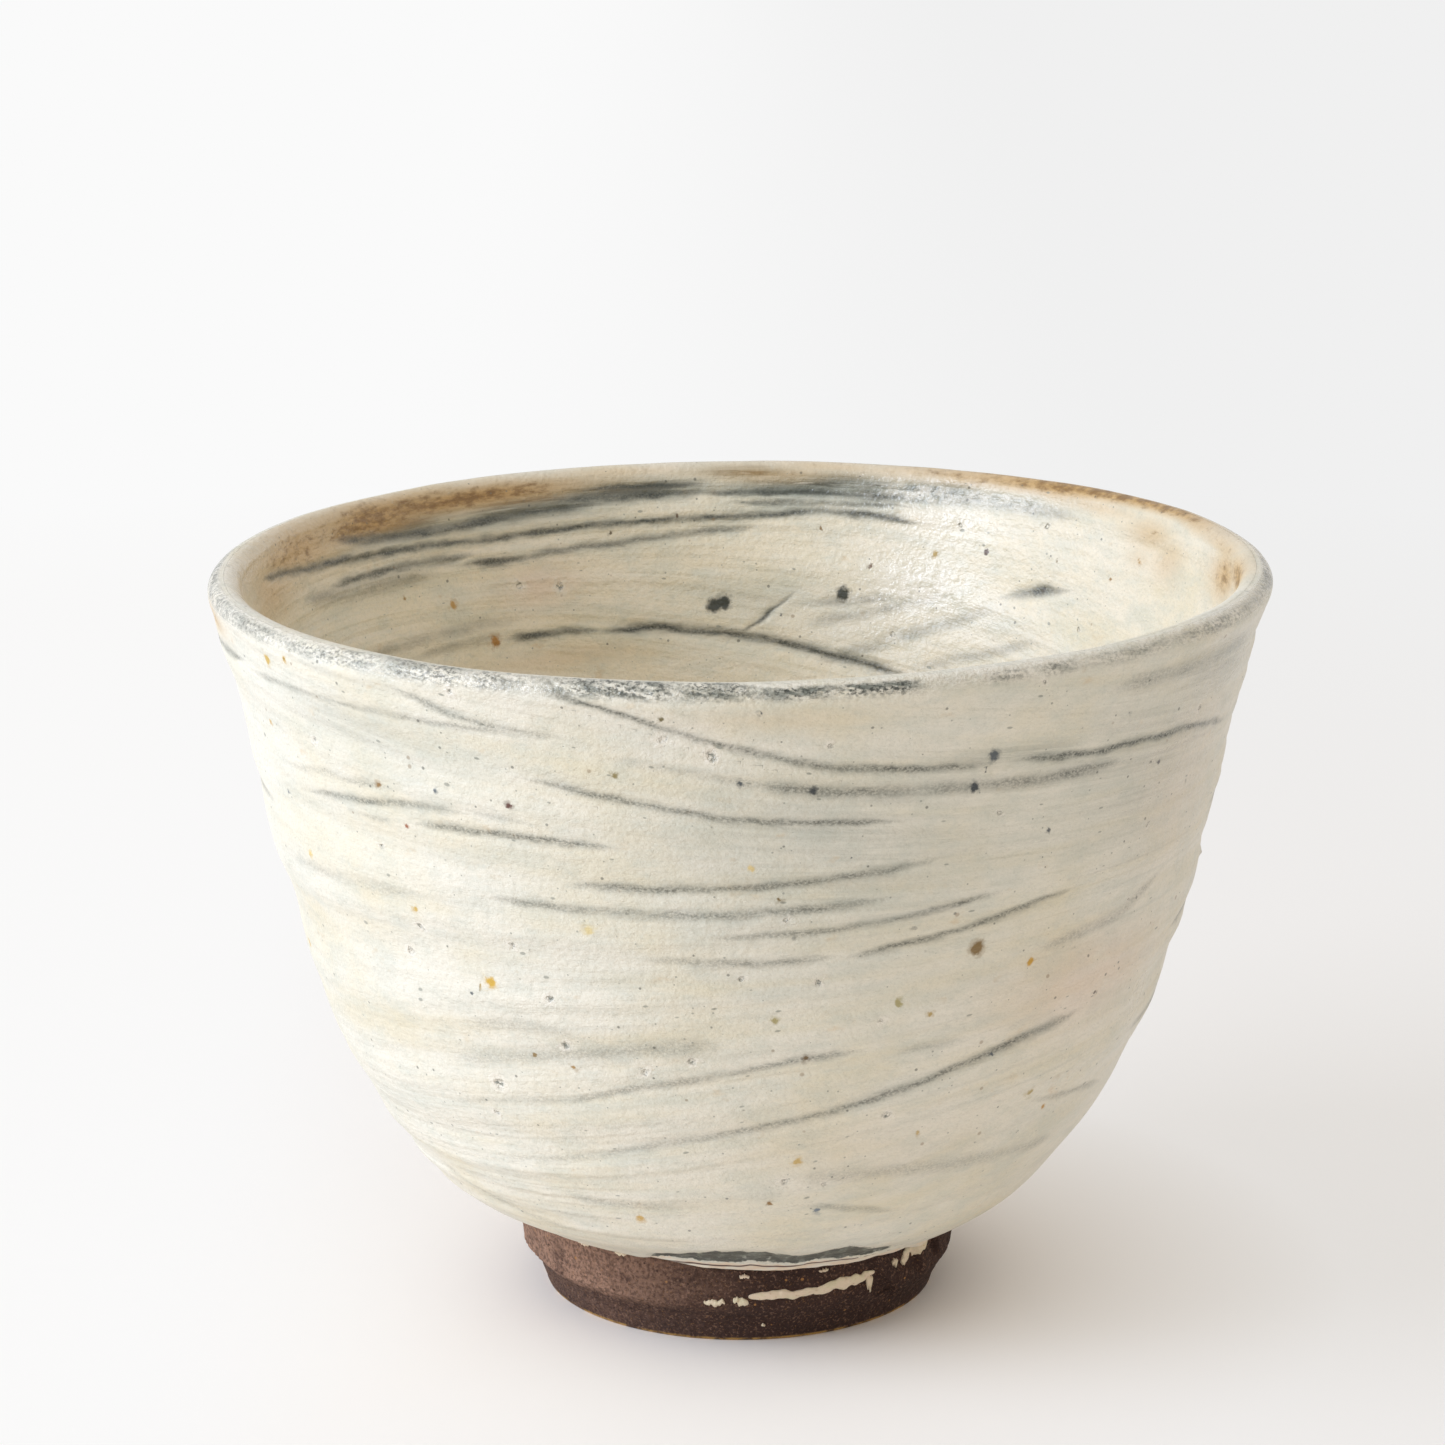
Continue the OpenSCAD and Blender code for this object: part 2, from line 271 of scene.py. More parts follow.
INSIDE_SPECKS = (
    (183.4, 40.0, 0.6, "#272b21"), (181.9, 40.2, 0.6, "#272b21"),
    (165.5, 41.0, 0.6, "#2f332b"), (135.6, 43.1, 0.34, "#4a4436"), (145.5, 44.9, 0.3, "#5a4231"),
    (162, 43.1, 0.24, "#6a5038"), (169, 45.5, 0.26, "#83683d"),
    (216, 38.8, 0.5, "#a9772f"), (222, 41.8, 0.42, "#bd9552"), (188, 46.3, 0.24, "#5d4630"),
    (174, 39.3, 0.2, "#5a5f5e"), (153, 44.3, 0.34, "#b79a5a"), (119, 46.6, 0.3, "#ab8342"),
    (124, 44.9, 0.24, "#9b7747"), (134, 45.2, 0.2, "#8f7b58"), (197, 45.4, 0.22, "#63563c"),
    (230, 43.0, 0.26, "#a98a54"), (20, 30.0, 0.5, "#c8a648"), (300, 25.0, 0.45, "#6d5632"),
    (90, 24.0, 0.4, "#80642f"), (200, 18.0, 0.5, "#c8992f"),
)

# Pinholes and craters: azimuth, height, radius in mm
OUTSIDE_PITS = (
    (-3, 46.0, 0.55), (-8, 47.0, 0.5), (-40, 32.2, 0.4), (-27, 32.2, 0.42), (-33, 21.6, 0.65),
    (-35, 19.2, 0.42), (-22, 25.4, 0.45), (-6, 24.9, 0.45), (-12, 24.0, 0.45), (-43, 30.0, 0.5),
    (-44, 37.3, 0.3), (-23, 28.7, 0.4), (51.5, 42.0, 0.34), (53, 37.7, 0.36), (53.5, 32.3, 0.28),
    (19.5, 20.4, 0.5), (6.2, 15.6, 0.42), (12.4, 15.2, 0.36), (32, 49.6, 0.34), (0, 31.0, 0.34),
    (9, 30.6, 0.4), (29, 41.0, 0.32), (9, 46.5, 0.36), (60, 44.6, 0.4), (-52, 43.6, 0.4),
    (-30, 49.3, 0.42), (5, 35.0, 0.3), (17, 27.6, 0.34), (120, 34.0, 0.5), (170, 26.0, 0.6),
    (230, 20.0, 0.5), (260, 40.0, 0.45),
)
INSIDE_PITS = (
    (205, 42.0, 0.55), (211, 42.4, 0.45), (150, 46.6, 0.35), (158, 38.4, 0.4), (128, 41.0, 0.3),
    (137, 47.4, 0.34), (40, 26.0, 0.5), (280, 31.0, 0.5),
)

# Blisters that stand out of the coat, in the same way
BLISTERS = ((86, 30.8, 0.4), (87, 25.4, 0.35), (292, 33.0, 0.4), (190, 29.0, 0.5))

# Stains of four kinds: azimuth, height, reach in degrees and in mm of height, share in the middle
OUTSIDE_STAINS = (
    # Iron brown
    ((-76, 48.6, 6, 0.9, 0.75), (2, 48.5, 10, 0.9, 0.15), (20, 17.5, 22, 3.0, 0.09),
     (165, 48.8, 24, 0.8, 0.4), (122, 50.3, 24, 0.5, 0.8), (250, 46.5, 20, 2.0, 0.2)),
    # Pink blush
    ((48, 27.5, 14, 3.0, 0.5), (60, 40.0, 10, 6.0, 0.2), (120, 38.0, 26, 6.0, 0.3)),
    # Cool wash; the broad one in front, 39 mm up, is partly greyer slip and partly painted shade
    ((20, 22.8, 16, 1.2, 0.12), (48, 15.5, 16, 2.6, 0.15), (30, 14.6, 16, 2.0, 0.12),
     (28, 43.9, 4, 1.0, 0.15), (40, 46.0, 22, 2.0, 0.12), (10, 39.0, 24, 8.0, 0.3),
     (62, 47.0, 14, 2.4, 0.42), (50, 42.5, 18, 7.0, 0.34), (-44, 45.2, 18, 2.4, 0.3),
     (30, 44.6, 12, 1.0, 0.45), (64, 24.0, 5, 5.0, 0.1), (200, 24.0, 30, 4.0, 0.2),
     (250, 46.5, 20, 2.0, 0.15)),
    # Painted sheen, where the glaze catches the window's light
    ((28, 43.9, 4, 1.0, 0.3), (62, 47.0, 14, 2.4, 0.1), (-4, 46.6, 7, 1.3, 0.45),
     (-20, 41.8, 6, 1.0, 0.25), (64, 24.0, 5, 5.0, 0.3)),
)
INSIDE_STAINS = (
    # Iron brown
    ((217, 48.9, 19, 0.85, 1.0), (234, 48.4, 12, 0.9, 0.95), (250, 48.6, 14, 1.8, 0.75),
     (262, 47.0, 10, 1.8, 0.5), (196, 49.6, 14, 0.4, 0.35), (168, 49.8, 12, 0.4, 0.45),
     (136, 50.2, 20, 0.4, 0.6), (118, 48.6, 5, 1.1, 0.5), (113, 47.4, 4, 1.5, 0.42),
     (119, 46.9, 3, 0.8, 0.25), (130, 49.4, 9, 0.5, 0.4), (86, 49.6, 9, 1.0, 0.95),
     (95, 48.6, 6, 1.6, 0.8), (205, 37.0, 12, 0.8, 0.3)),
    # Pink blush
    ((250, 48.6, 14, 1.8, 0.1), (262, 47.0, 10, 1.8, 0.1), (208, 42.2, 6, 1.4, 0.6)),
    # Cool wash
    ((228, 48.1, 13, 1.3, 0.85), (207, 47.9, 14, 1.2, 0.9), (163, 48.3, 6, 1.2, 0.95),
     (178, 49.3, 7, 0.5, 0.95), (152, 49.1, 6, 0.5, 0.6), (176, 40.6, 12, 2.0, 0.3),
     (194, 48.4, 14, 0.7, 1.0), (172, 48.3, 12, 0.9, 1.0), (166, 49.0, 9, 0.6, 1.0),
     (176, 46.9, 10, 0.5, 0.5), (156, 48.5, 7, 1.0, 0.8), (145, 48.6, 9, 0.7, 0.5),
     (155, 42.0, 8, 2.2, 0.25), (162, 38.8, 8, 1.6, 0.2), (146, 40.6, 6, 1.6, 0.15)),
    # Painted sheen, where the glaze catches the window's light
    ((274, 49.8, 24, 1.0, 0.4), (208, 42.2, 6, 1.4, 0.1), (156, 48.5, 7, 1.0, 0.7),
     (145, 48.6, 9, 0.7, 0.6), (155, 42.0, 8, 2.2, 1.0), (162, 38.8, 8, 1.6, 0.3),
     (146, 40.6, 6, 1.6, 0.3), (151, 46.4, 7, 1.6, 0.7)),
)

# Iron along the inner edge of the lip: azimuth, share, and reach in mm down from the crest
LIP_IRON = (
    (84, 0.0, 0.6), (92, 0.3, 1.0), (97, 0.6, 1.2), (106, 0.5, 0.8), (114, 0.85, 0.5),
    (122, 0.95, 0.5), (129, 0.9, 0.6), (137, 0.95, 0.8), (146, 0.75, 0.8), (154, 0.6, 0.8),
    (163, 0.4, 0.8), (168, 0.4, 0.9), (173, 0.5, 1.3), (178, 0.5, 1.4), (184, 0.4, 1.0),
    (190, 0.3, 0.7), (197, 0.2, 0.5), (203, 0.3, 0.8), (212, 0.5, 1.4), (222, 0.8, 2.0),
    (235, 0.9, 2.3), (242, 0.6, 2.5), (255, 0.5, 2.8), (266, 0.35, 2.6), (278, 0.15, 2.0),
    (290, 0.0, 1.0),
)
# Share of that stain which is already there on the crest, by azimuth
LIP_IRON_TOP = ((98, 0.45), (108, 1.0), (158, 1.0), (168, 0.45))
# Share of dark worn glaze along the lip, by azimuth
LIP_WEAR = (
    (-62, 0.54), (-57, 0.48), (-53, 0.3), (-49, 0.6), (-41, 0.57), (-39, 0.24), (-36, 0.54),
    (-30, 0.77), (-28.5, 0.26), (-26, 0.68), (-24, 0.42), (-20, 0.25), (-17, 0.7), (-13, 0.9),
    (-11, 0.8), (-8, 0.9), (-6.5, 0.3), (-4.6, 0.8), (-1, 0.9), (1.5, 0.4), (4, 1.0), (7, 1.0),
    (9.5, 0.45), (11, 1.0), (16.5, 1.0), (19, 0.1), (25, 0.08), (26.5, 0.52), (29, 0.45),
    (31, 0.08), (33, 0.6), (35, 0.45), (37, 0.08), (41, 0.41), (46, 0.38), (50, 0.19), (58, 0.52),
    (64, 0.45), (70, 0.22), (84, 0.7), (96, 0.2), (110, 0.8), (118, 0.2), (140, 0.7), (150, 0.8),
    (158, 0.1), (178, 0.6), (190, 0.2), (205, 0.8), (220, 0.7), (232, 0.2), (250, 0.8), (262, 0.4),
    (274, 0.8), (285, 0.5),
)
# How far in mm outside the crest the worn glaze begins, by azimuth
LIP_FIRST = (
    (-48, 0.22), (-38, -0.1), (-1, -0.1), (2, 0.26), (60, 0.26), (90, 0.1), (180, 0.22), (270, 0.1),
)
# Strip above the foot where the slip is missing: azimuth, share
BARE_STRIP = (
    (-24, 0.0), (-17, 0.8), (-12, 0.95), (0, 1.0), (12, 1.0), (20, 1.0), (27, 0.9), (33, 0.75),
    (38, 0.3), (44, 0.0),
)

# What is drawn on one side of the coats
Side = namedtuple("Side", "strokes specks pits stains inside")
OUTSIDE = Side(OUTSIDE_STROKES, OUTSIDE_SPECKS, OUTSIDE_PITS, OUTSIDE_STAINS, False)
INSIDE = Side(INSIDE_STROKES, INSIDE_SPECKS, INSIDE_PITS, INSIDE_STAINS, True)

# Fields that hold the strokes: those of one field stay clear of each other
STROKE_LAYERS = 8
# Half widths out to which a stroke shows, at which its strength is nothing, and out to which
# its line is written into the field
STROKE_DRAWN, STROKE_FADE, STROKE_WRITTEN = 2.6, 3.2, 4.0
# Half widths out to which its dark core shows
STROKE_CORE = 1.25
# Degrees that a stroke's line is carried on past its ends, and over which it tapers
STROKE_RUN, STROKE_OVER, STROKE_TAPER = 8, 3, 7
# Distance in mm that a field holds where nothing is near
FAR = 9.0
# Distances in mm over which a spot's radius shrinks to almost nothing
SPOT_NEAR, SPOT_FAR = 0.8, 1.1

# How far in mm the brush's path climbs to the right: inside below the lip, outside low down,
# and outside towards the lip
INSIDE_CLIMB, LOW_CLIMB, LIP_CLIMB = -5.0, 6.2, -11.0
# Heights in mm of what stands out of the coats, and depths of what is cut into them
TERRACE, RIDGE, SWELL, BLISTER = 0.15, 0.06, 0.1, 0.3
GROOVE, CRATER = 0.09, 0.12
# Finger ridges: their depth in mm, and how often they go round up to the lip
FINGER_DEPTH, FINGER_TURNS = 0.14, 7

# Bend of the fired cup at the lip, in mm: (waves in a turn, cosine share, sine share)
LIFT_WAVES = ((1, 0.217, -0.356), (2, 0.097, -0.006))
PUSH_WAVES = ((2, 0.079, 0.29), (3, 0.087, -0.218))


def wrap_turns(table):
    """Azimuths in radians and values of a table, with one copy a turn before and after."""
    angles = np.array([row[0] for row in table], float)
    values = np.array([row[1] for row in table], float)
    order = np.argsort(angles)
    angles, values = np.radians(angles[order]), values[order]
    return (np.concatenate([angles - TURN, angles, angles + TURN]), np.tile(values, 3))


def along(table, azimuth):
    """Value of a table at each azimuth, by straight lines between its rows."""
    angles, values = wrap_turns(table)
    return np.interp(azimuth, angles, values)


def smooth(x):
    """Step from 0 to 1 with level ends: x * x * (3 - 2 x), x held between 0 and 1."""
    x = np.clip(x, 0, 1)
    return x * x * (3 - 2 * x)


def lattice(azimuth, height, around, tall, seed):
    """Smooth noise from -1 to 1 that closes round the cup.

    Random values stand at 'around' places of a turn and every 'tall' mm of height, and
    smooth steps blend the four that surround each point.
    """
    values = np.random.default_rng(seed).uniform(-1, 1, (LATTICE_ROWS, around))
    u = (azimuth / TURN % 1) * around
    v = height / tall + LATTICE_ROWS / 2
    i, j = np.floor(v).astype(int), np.floor(u).astype(int)
    s, t = smooth(v - i), smooth(u - j)
    i0, i1 = i % LATTICE_ROWS, (i + 1) % LATTICE_ROWS
    j0, j1 = j % around, (j + 1) % around
    low = values[i0, j0] * (1 - t) + values[i0, j1] * t
    high = values[i1, j0] * (1 - t) + values[i1, j1] * t
    return low * (1 - s) + high * s


def brush_height(azimuth, height, inside):
    """Height followed along the brush's path: height - rise(height) * sin(azimuth).

    Outside, the path climbs to the right low down, runs level half way up and falls near the
    lip. Inside, it follows the lip and falls to the right below it.
    """
    if inside:
        rise = INSIDE_CLIMB * smooth((47.5 - height) / 9)
    else:
        rise = LOW_CLIMB * smooth((height - 6) / 13) + LIP_CLIMB * smooth((height - 17) / 33)
    return height - rise * np.sin(azimuth)


class Spec:
    """The sizes in millimetres, read from the scene's properties."""

    def __init__(self):
        sizes = bpy.context.scene.cup_sizes
        for name in CupSizes.__annotations__:
            value = getattr(sizes, name)
            setattr(self, name, value if name in ("lip_lean", "spring_slope") else value / MM)
        self.coat = self.slip + self.glaze
        self.foot_r, self.rest_r = self.foot_width / 2, self.rest_width / 2
        self.recess_r, self.boss_r = self.recess_width / 2, self.boss_width / 2
        self.lip_r = self.lip / 2
        self.clay_lip_r = self.lip_r - self.coat
        self.lip_centre = np.array([self.rim_width / 2 - self.lip_r, self.height - self.lip_r])


def heading(angle):
    """Unit vector at an angle from level."""
    return np.array([math.cos(angle), math.sin(angle)])


def cubic(corners, steps):
    """Points of a cubic curve: (1-t)^3 a + 3 (1-t)^2 t b + 3 (1-t) t^2 c + t^3 d."""
    t = np.linspace(0, 1, steps)[:, None]
    a, b, c, d = (np.array(p, float) for p in corners)
    return (1 - t) ** 3 * a + 3 * (1 - t) ** 2 * t * b + 3 * (1 - t) * t ** 2 * c + t ** 3 * d


def arc(centre, radius, first, last, steps):
    """Points of an arc, by angle from level."""
    angle = np.linspace(first, last, steps)
    return centre + radius * np.stack([np.cos(angle), np.sin(angle)], 1)


def outer_wall(spec):
    """Outside of the clay from the foot's corner to the lip, as (radius, height)."""
    start = np.array([spec.foot_r, spec.foot_height])
    end = spec.lip_centre + spec.clay_lip_r * heading(spec.lip_lean - math.pi / 2)
    chord = np.linalg.norm(end - start)
    return cubic((start, start + BELLY_SHARE * chord * heading(spec.spring_slope),
                  end - NECK_SHARE * chord * heading(spec.lip_lean), end), 600)


def inner_wall(spec):
    """Inside of the clay from the centre of the floor to the lip, as (radius, height)."""
    start = np.array([0.0, spec.floor_height])
    end = spec.lip_centre + spec.clay_lip_r * heading(spec.lip_lean + math.pi / 2)
    neck = INNER_NECK_SHARE * (end[1] - start[1]) * np.array([1 / math.tan(spec.lip_lean), 1])
    return cubic((start, (FLOOR_SHARE * end[0], start[1]), end - neck, end), 600)


def lengths(points):
    """Length along a line of points, up to each of them."""
    return np.concatenate([[0], np.cumsum(np.linalg.norm(np.diff(points, axis=0), axis=1))])


class Line:
    """A line of points in (radius, height), read by its length, with its right-hand normal."""

    def __init__(self, points, soften=0.0):
        """soften is the width in mm of a moving average, which rounds the line's corners."""
        keep = np.concatenate([[True], np.linalg.norm(np.diff(points, axis=0), axis=1) > 1e-9])
        points = points[keep]
        total = lengths(points)
        step = 0.02
        even = np.arange(0, total[-1] + step / 2, step)
        line = np.stack([np.interp(even, total, points[:, k]) for k in (0, 1)], 1)
        count = int(soften / step / 2) * 2 + 1
        if count > 1:
            padded = np.pad(line, ((count // 2, count // 2), (0, 0)), "reflect", reflect_type="odd")
            window = np.hanning(count + 2)[1:-1]
            window /= window.sum()
            line = np.stack([np.convolve(padded[:, k], window, "valid") for k in (0, 1)], 1)
        self.at = lengths(line)
        self.points = line
        slope = np.gradient(line, axis=0)
        slope /= np.linalg.norm(slope, axis=1)[:, None]
        self.normals = np.stack([slope[:, 1], -slope[:, 0]], 1)
        self.total = self.at[-1]

    def read(self, s):
        """Radius, height and the normal's two parts at length s along the line."""
        r, z = (np.interp(s, self.at, self.points[:, k]) for k in (0, 1))
        nr, nz = (np.interp(s, self.at, self.normals[:, k]) for k in (0, 1))
        return r, z, nr, nz


# How far in mm the foot's corner lies above its drawn height, by azimuth
FOOT_LIFT = (
    (-100, 0.25), (-60, 0.45), (-42, 0.6), (-30, 0.6), (-18, 0.5), (-7, 0.18), (4, 0.1), (20, 0.0),
    (130, 0.0), (200, 0.15),
)


def waved(waves, theta):
    """Sum of cosine and sine waves: a cos(n theta) + b sin(n theta) for each (n, a, b)."""
    return sum(a * np.cos(n * theta) + b * np.sin(n * theta) for n, a, b in waves)


def warp(azimuth, r, z, spec):
    """Bends a turned form as the fired cup is bent, most at the lip.

    Radius and height each gain a sum of waves round the cup, times the square of the share
    of the full height. The foot's corner is lifted on one side, between 0 and 10 mm up.
    """
    theta = azimuth - math.pi / 2
    share = (z / spec.height) ** 2
    corner = along(FOOT_LIFT, azimuth) * smooth(z / 6) * smooth((10 - z) / 4)
    push = waved(PUSH_WAVES, theta) * share * np.clip(r / spec.foot_r, 0, 1)
    return r + push, z + waved(LIFT_WAVES, theta) * share + corner


def placed(azimuth, r, z, spec):
    """Points in metres of a warped turned form."""
    r, z = warp(azimuth, r, z, spec)
    return np.stack([r * np.sin(azimuth), -r * np.cos(azimuth), z], -1) * MM


def turns(count):
    """Azimuths of a grid's columns, in radians."""
    return np.arange(count) * TURN / count


def stroke_line(points):
    """A stroke's height at every half degree of its reach, with its corners rounded."""
    angles = np.array([p[0] for p in points], float)
    heights = np.array([p[1] for p in points], float)
    order = np.argsort(angles)
    angles, heights = angles[order], heights[order]
    fine = np.arange(angles[0] - STROKE_RUN, angles[-1] + STROKE_RUN + 0.25, 0.5)
    first = (heights[1] - heights[0]) / (angles[1] - angles[0])
    last = (heights[-1] - heights[-2]) / (angles[-1] - angles[-2])
    z = np.interp(fine, angles, heights)
    z += np.where(fine < angles[0], (fine - angles[0]) * first, 0)
    z += np.where(fine > angles[-1], (fine - angles[-1]) * last, 0)
    window = np.hanning(13)[1:-1]
    window /= window.sum()
    rounded = np.convolve(np.pad(z, 5, "edge"), window, "valid")
    return fine, rounded, angles[0], angles[-1]


def dealt(lines, halves):
    """Layer for each stroke, so that strokes drawn close together never share one.

    A stroke takes the first layer whose strokes all keep the fade's width away from it.
    """
    layers = []
    for k, (fine, line, *_) in enumerate(lines):
        taken = set()
        for other in range(k):
            far, other_line = lines[other][:2]
            for turn in (-360, 0, 360):
                apart = np.abs(line - np.interp(fine + turn, far, other_line, left=99, right=99))
                if apart.min() < STROKE_WRITTEN * (halves[k] + halves[other]):
                    taken.add(layers[other])
        layers.append(next(layer for layer in range(len(lines)) if layer not in taken))
    if max(layers) >= STROKE_LAYERS:
        raise RuntimeError(f"the strokes need {max(layers) + 1} layers")
    return layers


def stroke_layers(strokes, azimuth, height):
    """For each layer, the offset in mm from the nearest stroke, its half width and strength.

    A stroke's strength and width taper over its last degrees, and its strength fades away
    from its line.
    """
    out = np.zeros(azimuth.shape + (STROKE_LAYERS, 3))
    out[..., :2] = FAR, 1
    degrees = np.degrees(azimuth)
    lines = [stroke_line(points) for _, _, points in strokes]
    layers = dealt(lines, [half for _, half, _ in strokes])
    for (strength, half, _), (fine, line, first, last), k in zip(strokes, lines, layers):
        middle = (first + last) / 2
        here = (degrees - middle + 180) % 360 - 180 + middle
        offset = height - np.interp(here, fine, line)
        near = np.abs(offset) / half
        written = (near < STROKE_WRITTEN) & (here > fine[0]) & (here < fine[-1])
        started = smooth((here - first + STROKE_OVER) / STROKE_TAPER)
        taper = started * smooth((last + STROKE_OVER - here) / STROKE_TAPER)
        pressure = np.interp(here, (first, last), np.broadcast_to(strength, 2))
        weight = pressure * taper * smooth((STROKE_FADE - near) / (STROKE_FADE - STROKE_DRAWN))
        narrowed = half * (0.45 + 0.55 * taper)
        out[..., k, :][written] = np.stack([offset, narrowed, weight], -1)[written]
    return out


def turned(azimuth, place):
    """Azimuth from a place given in degrees, between minus and plus half a turn."""
    return (azimuth - math.radians(place) + math.pi) % TURN - math.pi


def nearest_spots(spots, azimuth, height, r):
    """Across and up distance in mm to the nearest spot, its radius, and its index.

    The radius shrinks to almost nothing away from its spot, so that no spot shows where the
    nearest one changes. Spots are further apart than that, or touch and are of one size.
    """
    near = np.zeros(azimuth.shape + (3,))
    index = np.zeros(azimuth.shape, int)
    best = np.full(azimuth.shape, np.inf)
    for k, spot in enumerate(spots):
        across_mm, up = turned(azimuth, spot[0]) * r, height - spot[1]
        away = np.hypot(across_mm, up)
        take = away < best
        radius = 0.02 + spot[2] * smooth((SPOT_FAR - away) / (SPOT_FAR - SPOT_NEAR))
        near[take] = np.stack([across_mm, up, radius], -1)[take]
        index[take] = k
        best = np.where(take, away, best)
    return near, index


def stain_shares(stains, azimuth, height):
    """Shares of brown, blush, wash and painted sheen: the largest of the bells around each stain."""
    out = np.zeros(azimuth.shape + (len(stains),))
    for kind, rows in enumerate(stains):
        for place, level, reach, tall, share in rows:
            turn = np.degrees(turned(azimuth, place))
            bell = share * np.exp(-(turn / reach) ** 2 - ((height - level) / tall) ** 2)
            out[..., kind] = np.maximum(out[..., kind], bell)
    return out


def spot_bells(spots, azimuth, height, r, sharp):
    """Bells over the spots: exp(-sharp * (distance / radius) ** 2)."""
    near, _ = nearest_spots(spots, azimuth, height, r)
    return np.exp(-sharp * (np.hypot(near[..., 0], near[..., 1]) / near[..., 2]) ** 2)


def relief(azimuth, height, r, side):
    """How far the coat stands out, in mm: brushed terraces, fine ridges, grooves and pits."""
    v = brush_height(azimuth, height, side.inside)
    terraces = lattice(azimuth, v, 9, 2.6, 11)
    terraces = TERRACE * np.sign(terraces) * np.abs(terraces) ** 0.7
    ridges = RIDGE * lattice(azimuth, v, 21, 0.9, 12)
    swell = SWELL * lattice(azimuth, height, 7, 7.0, 13)
    layers = stroke_layers(side.strokes, azimuth, height)
    reach = layers[..., 0] / (1.8 * layers[..., 1])
    grooves = GROOVE * (layers[..., 2] * np.exp(-reach ** 2)).max(-1)
    craters = CRATER * spot_bells(side.pits, azimuth, height, r, 1.4)
    shape = terraces + ridges + swell - grooves - craters
    if side.inside:
        return shape
    return shape + BLISTER * spot_bells(BLISTERS, azimuth, height, r, 2.0)


def grid_normals(points):
    """Normals of a grid: the cross product of the steps along a row and up a column."""
    around = np.roll(points, -1, 1) - np.roll(points, 1, 1)
    normal = np.cross(around, np.gradient(points, axis=0))
    return normal / np.maximum(np.linalg.norm(normal, axis=-1, keepdims=True), 1e-12)


def woven(points, poles):
    """Vertices, face corners and face sizes of a grid whose rows close into rings.

    Without poles the last row joins the first. With poles, a fan closes each end.
    """
    rows, columns = points.shape[:2]
    vertices = points.reshape(-1, 3)
    row = np.arange(rows if poles is None else rows - 1)[:, None]
    column = np.arange(columns)[None, :]
    right, above = (column + 1) % columns, (row + 1) % rows
    quads = np.stack([row * columns + column, row * columns + right,
                      above * columns + right, above * columns + column], -1).reshape(-1, 4)
    if poles is None:
        return vertices, quads.ravel(), np.full(len(quads), 4)
    first, last = len(vertices), len(vertices) + 1
    ring, following = np.arange(columns), (np.arange(columns) + 1) % columns
    end = (rows - 1) * columns
    fans = np.concatenate([np.stack([following, ring, np.full(columns, first)], 1),
                           np.stack([end + ring, end + following, np.full(columns, last)], 1)])
    return (np.concatenate([vertices, np.array(poles, float)]),
            np.concatenate([quads.ravel(), fans.ravel()]),
            np.concatenate([np.full(len(quads), 4), np.full(len(fans), 3)]))


def make_piece(name, grids, material, node_names, normals=None, fields=()):
    """One piece from grids of (points, poles), riding on the cup in place of CAD nodes.

    fields are (name, kind, values) for each point of a single grid, its poles included.
    """
    vertices, corners, sizes, count = [], [], [], 0
    for points, poles in grids:
        places, faces, size = woven(points, poles)
        vertices.append(places)
        corners.append(faces + count)
        sizes.append(size)
        count += len(places)
    vertices, corners, sizes = (np.concatenate(part) for part in (vertices, corners, sizes))
    mesh = bpy.data.meshes.new(name)
    mesh.vertices.add(len(vertices))
    mesh.vertices.foreach_set("co", vertices.astype(np.float32).ravel())
    mesh.loops.add(len(corners))
    mesh.loops.foreach_set("vertex_index", corners.astype(np.int32))
    mesh.polygons.add(len(sizes))
    mesh.polygons.foreach_set("loop_start", (np.cumsum(sizes) - sizes).astype(np.int32))
    mesh.update(calc_edges=True)
    if mesh.validate():
        raise RuntimeError(f"{name} has faulty faces")
    mesh.polygons.foreach_set("use_smooth", np.ones(len(sizes), bool))
    for field, kind, values in fields:
        layer = mesh.attributes.new(field, kind, "POINT")
        layer.data.foreach_set("color" if kind == "FLOAT_COLOR" else "vector",
                               values.astype(np.float32).ravel())
    if normals is not None:
        mesh.normals_split_custom_set_from_vertices(normals)
    mesh.materials.append(material)
    piece = bpy.data.objects.new(name, mesh)
    bpy.context.scene.collection.objects.link(piece)
    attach(piece, "root")
    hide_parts(*node_names)


# Width in mm of the bare slip between the coat's edge and the glaze, by azimuth
BARE_BAND = (
    (-75, 0.3), (-50, 0.6), (-40, 0.3), (-25, 0.5), (-15, 1.3), (0, 2.2), (20, 2.4), (35, 2.4),
    (50, 2.6), (62, 1.6), (80, 0.5), (120, 0.9), (160, 0.4), (200, 1.2), (240, 0.5), (270, 0.4),
)
# How far in mm the coat's edge lies below the foot's corner, by azimuth
EDGE_DROP = (
    (-85, -0.3), (-60, -0.2), (-42, 0.0), (-30, 0.0), (-20, 0.0), (-7, 0.1), (2, 0.2), (15, 0.25),
    (30, 0.3), (45, 0.5), (55, 0.9), (66, 0.7), (90, 0.4), (130, 0.6), (180, 0.4), (220, 0.7),
    (260, 0.4),
)
# Reach in mm of the round that the coats take over the foot's corner, and of their edges
CORNER_REACH, EDGE_ROUND = 0.9, 0.35
# How far in mm below the corner the rows of the outer coat start, and how far they are close
ROWS_BELOW, CLOSE_ROWS = 0.4, 0.45
# Turn between the rows round the lip, and points of each coat round the cup
LIP_STEP = math.radians(6)
COAT_COLUMNS = 480


def quarter_round(x):
    """Rises from 0 to 1 as a quarter circle."""
    return np.sqrt(1 - (1 - np.clip(x, 0, 1)) ** 2)


def fillet(before, corner, after, steps=24):
    """A square curve that rounds a corner."""
    t = np.linspace(0, 1, steps)[:, None]
    return (1 - t) ** 2 * before + 2 * (1 - t) * t * corner + t ** 2 * after


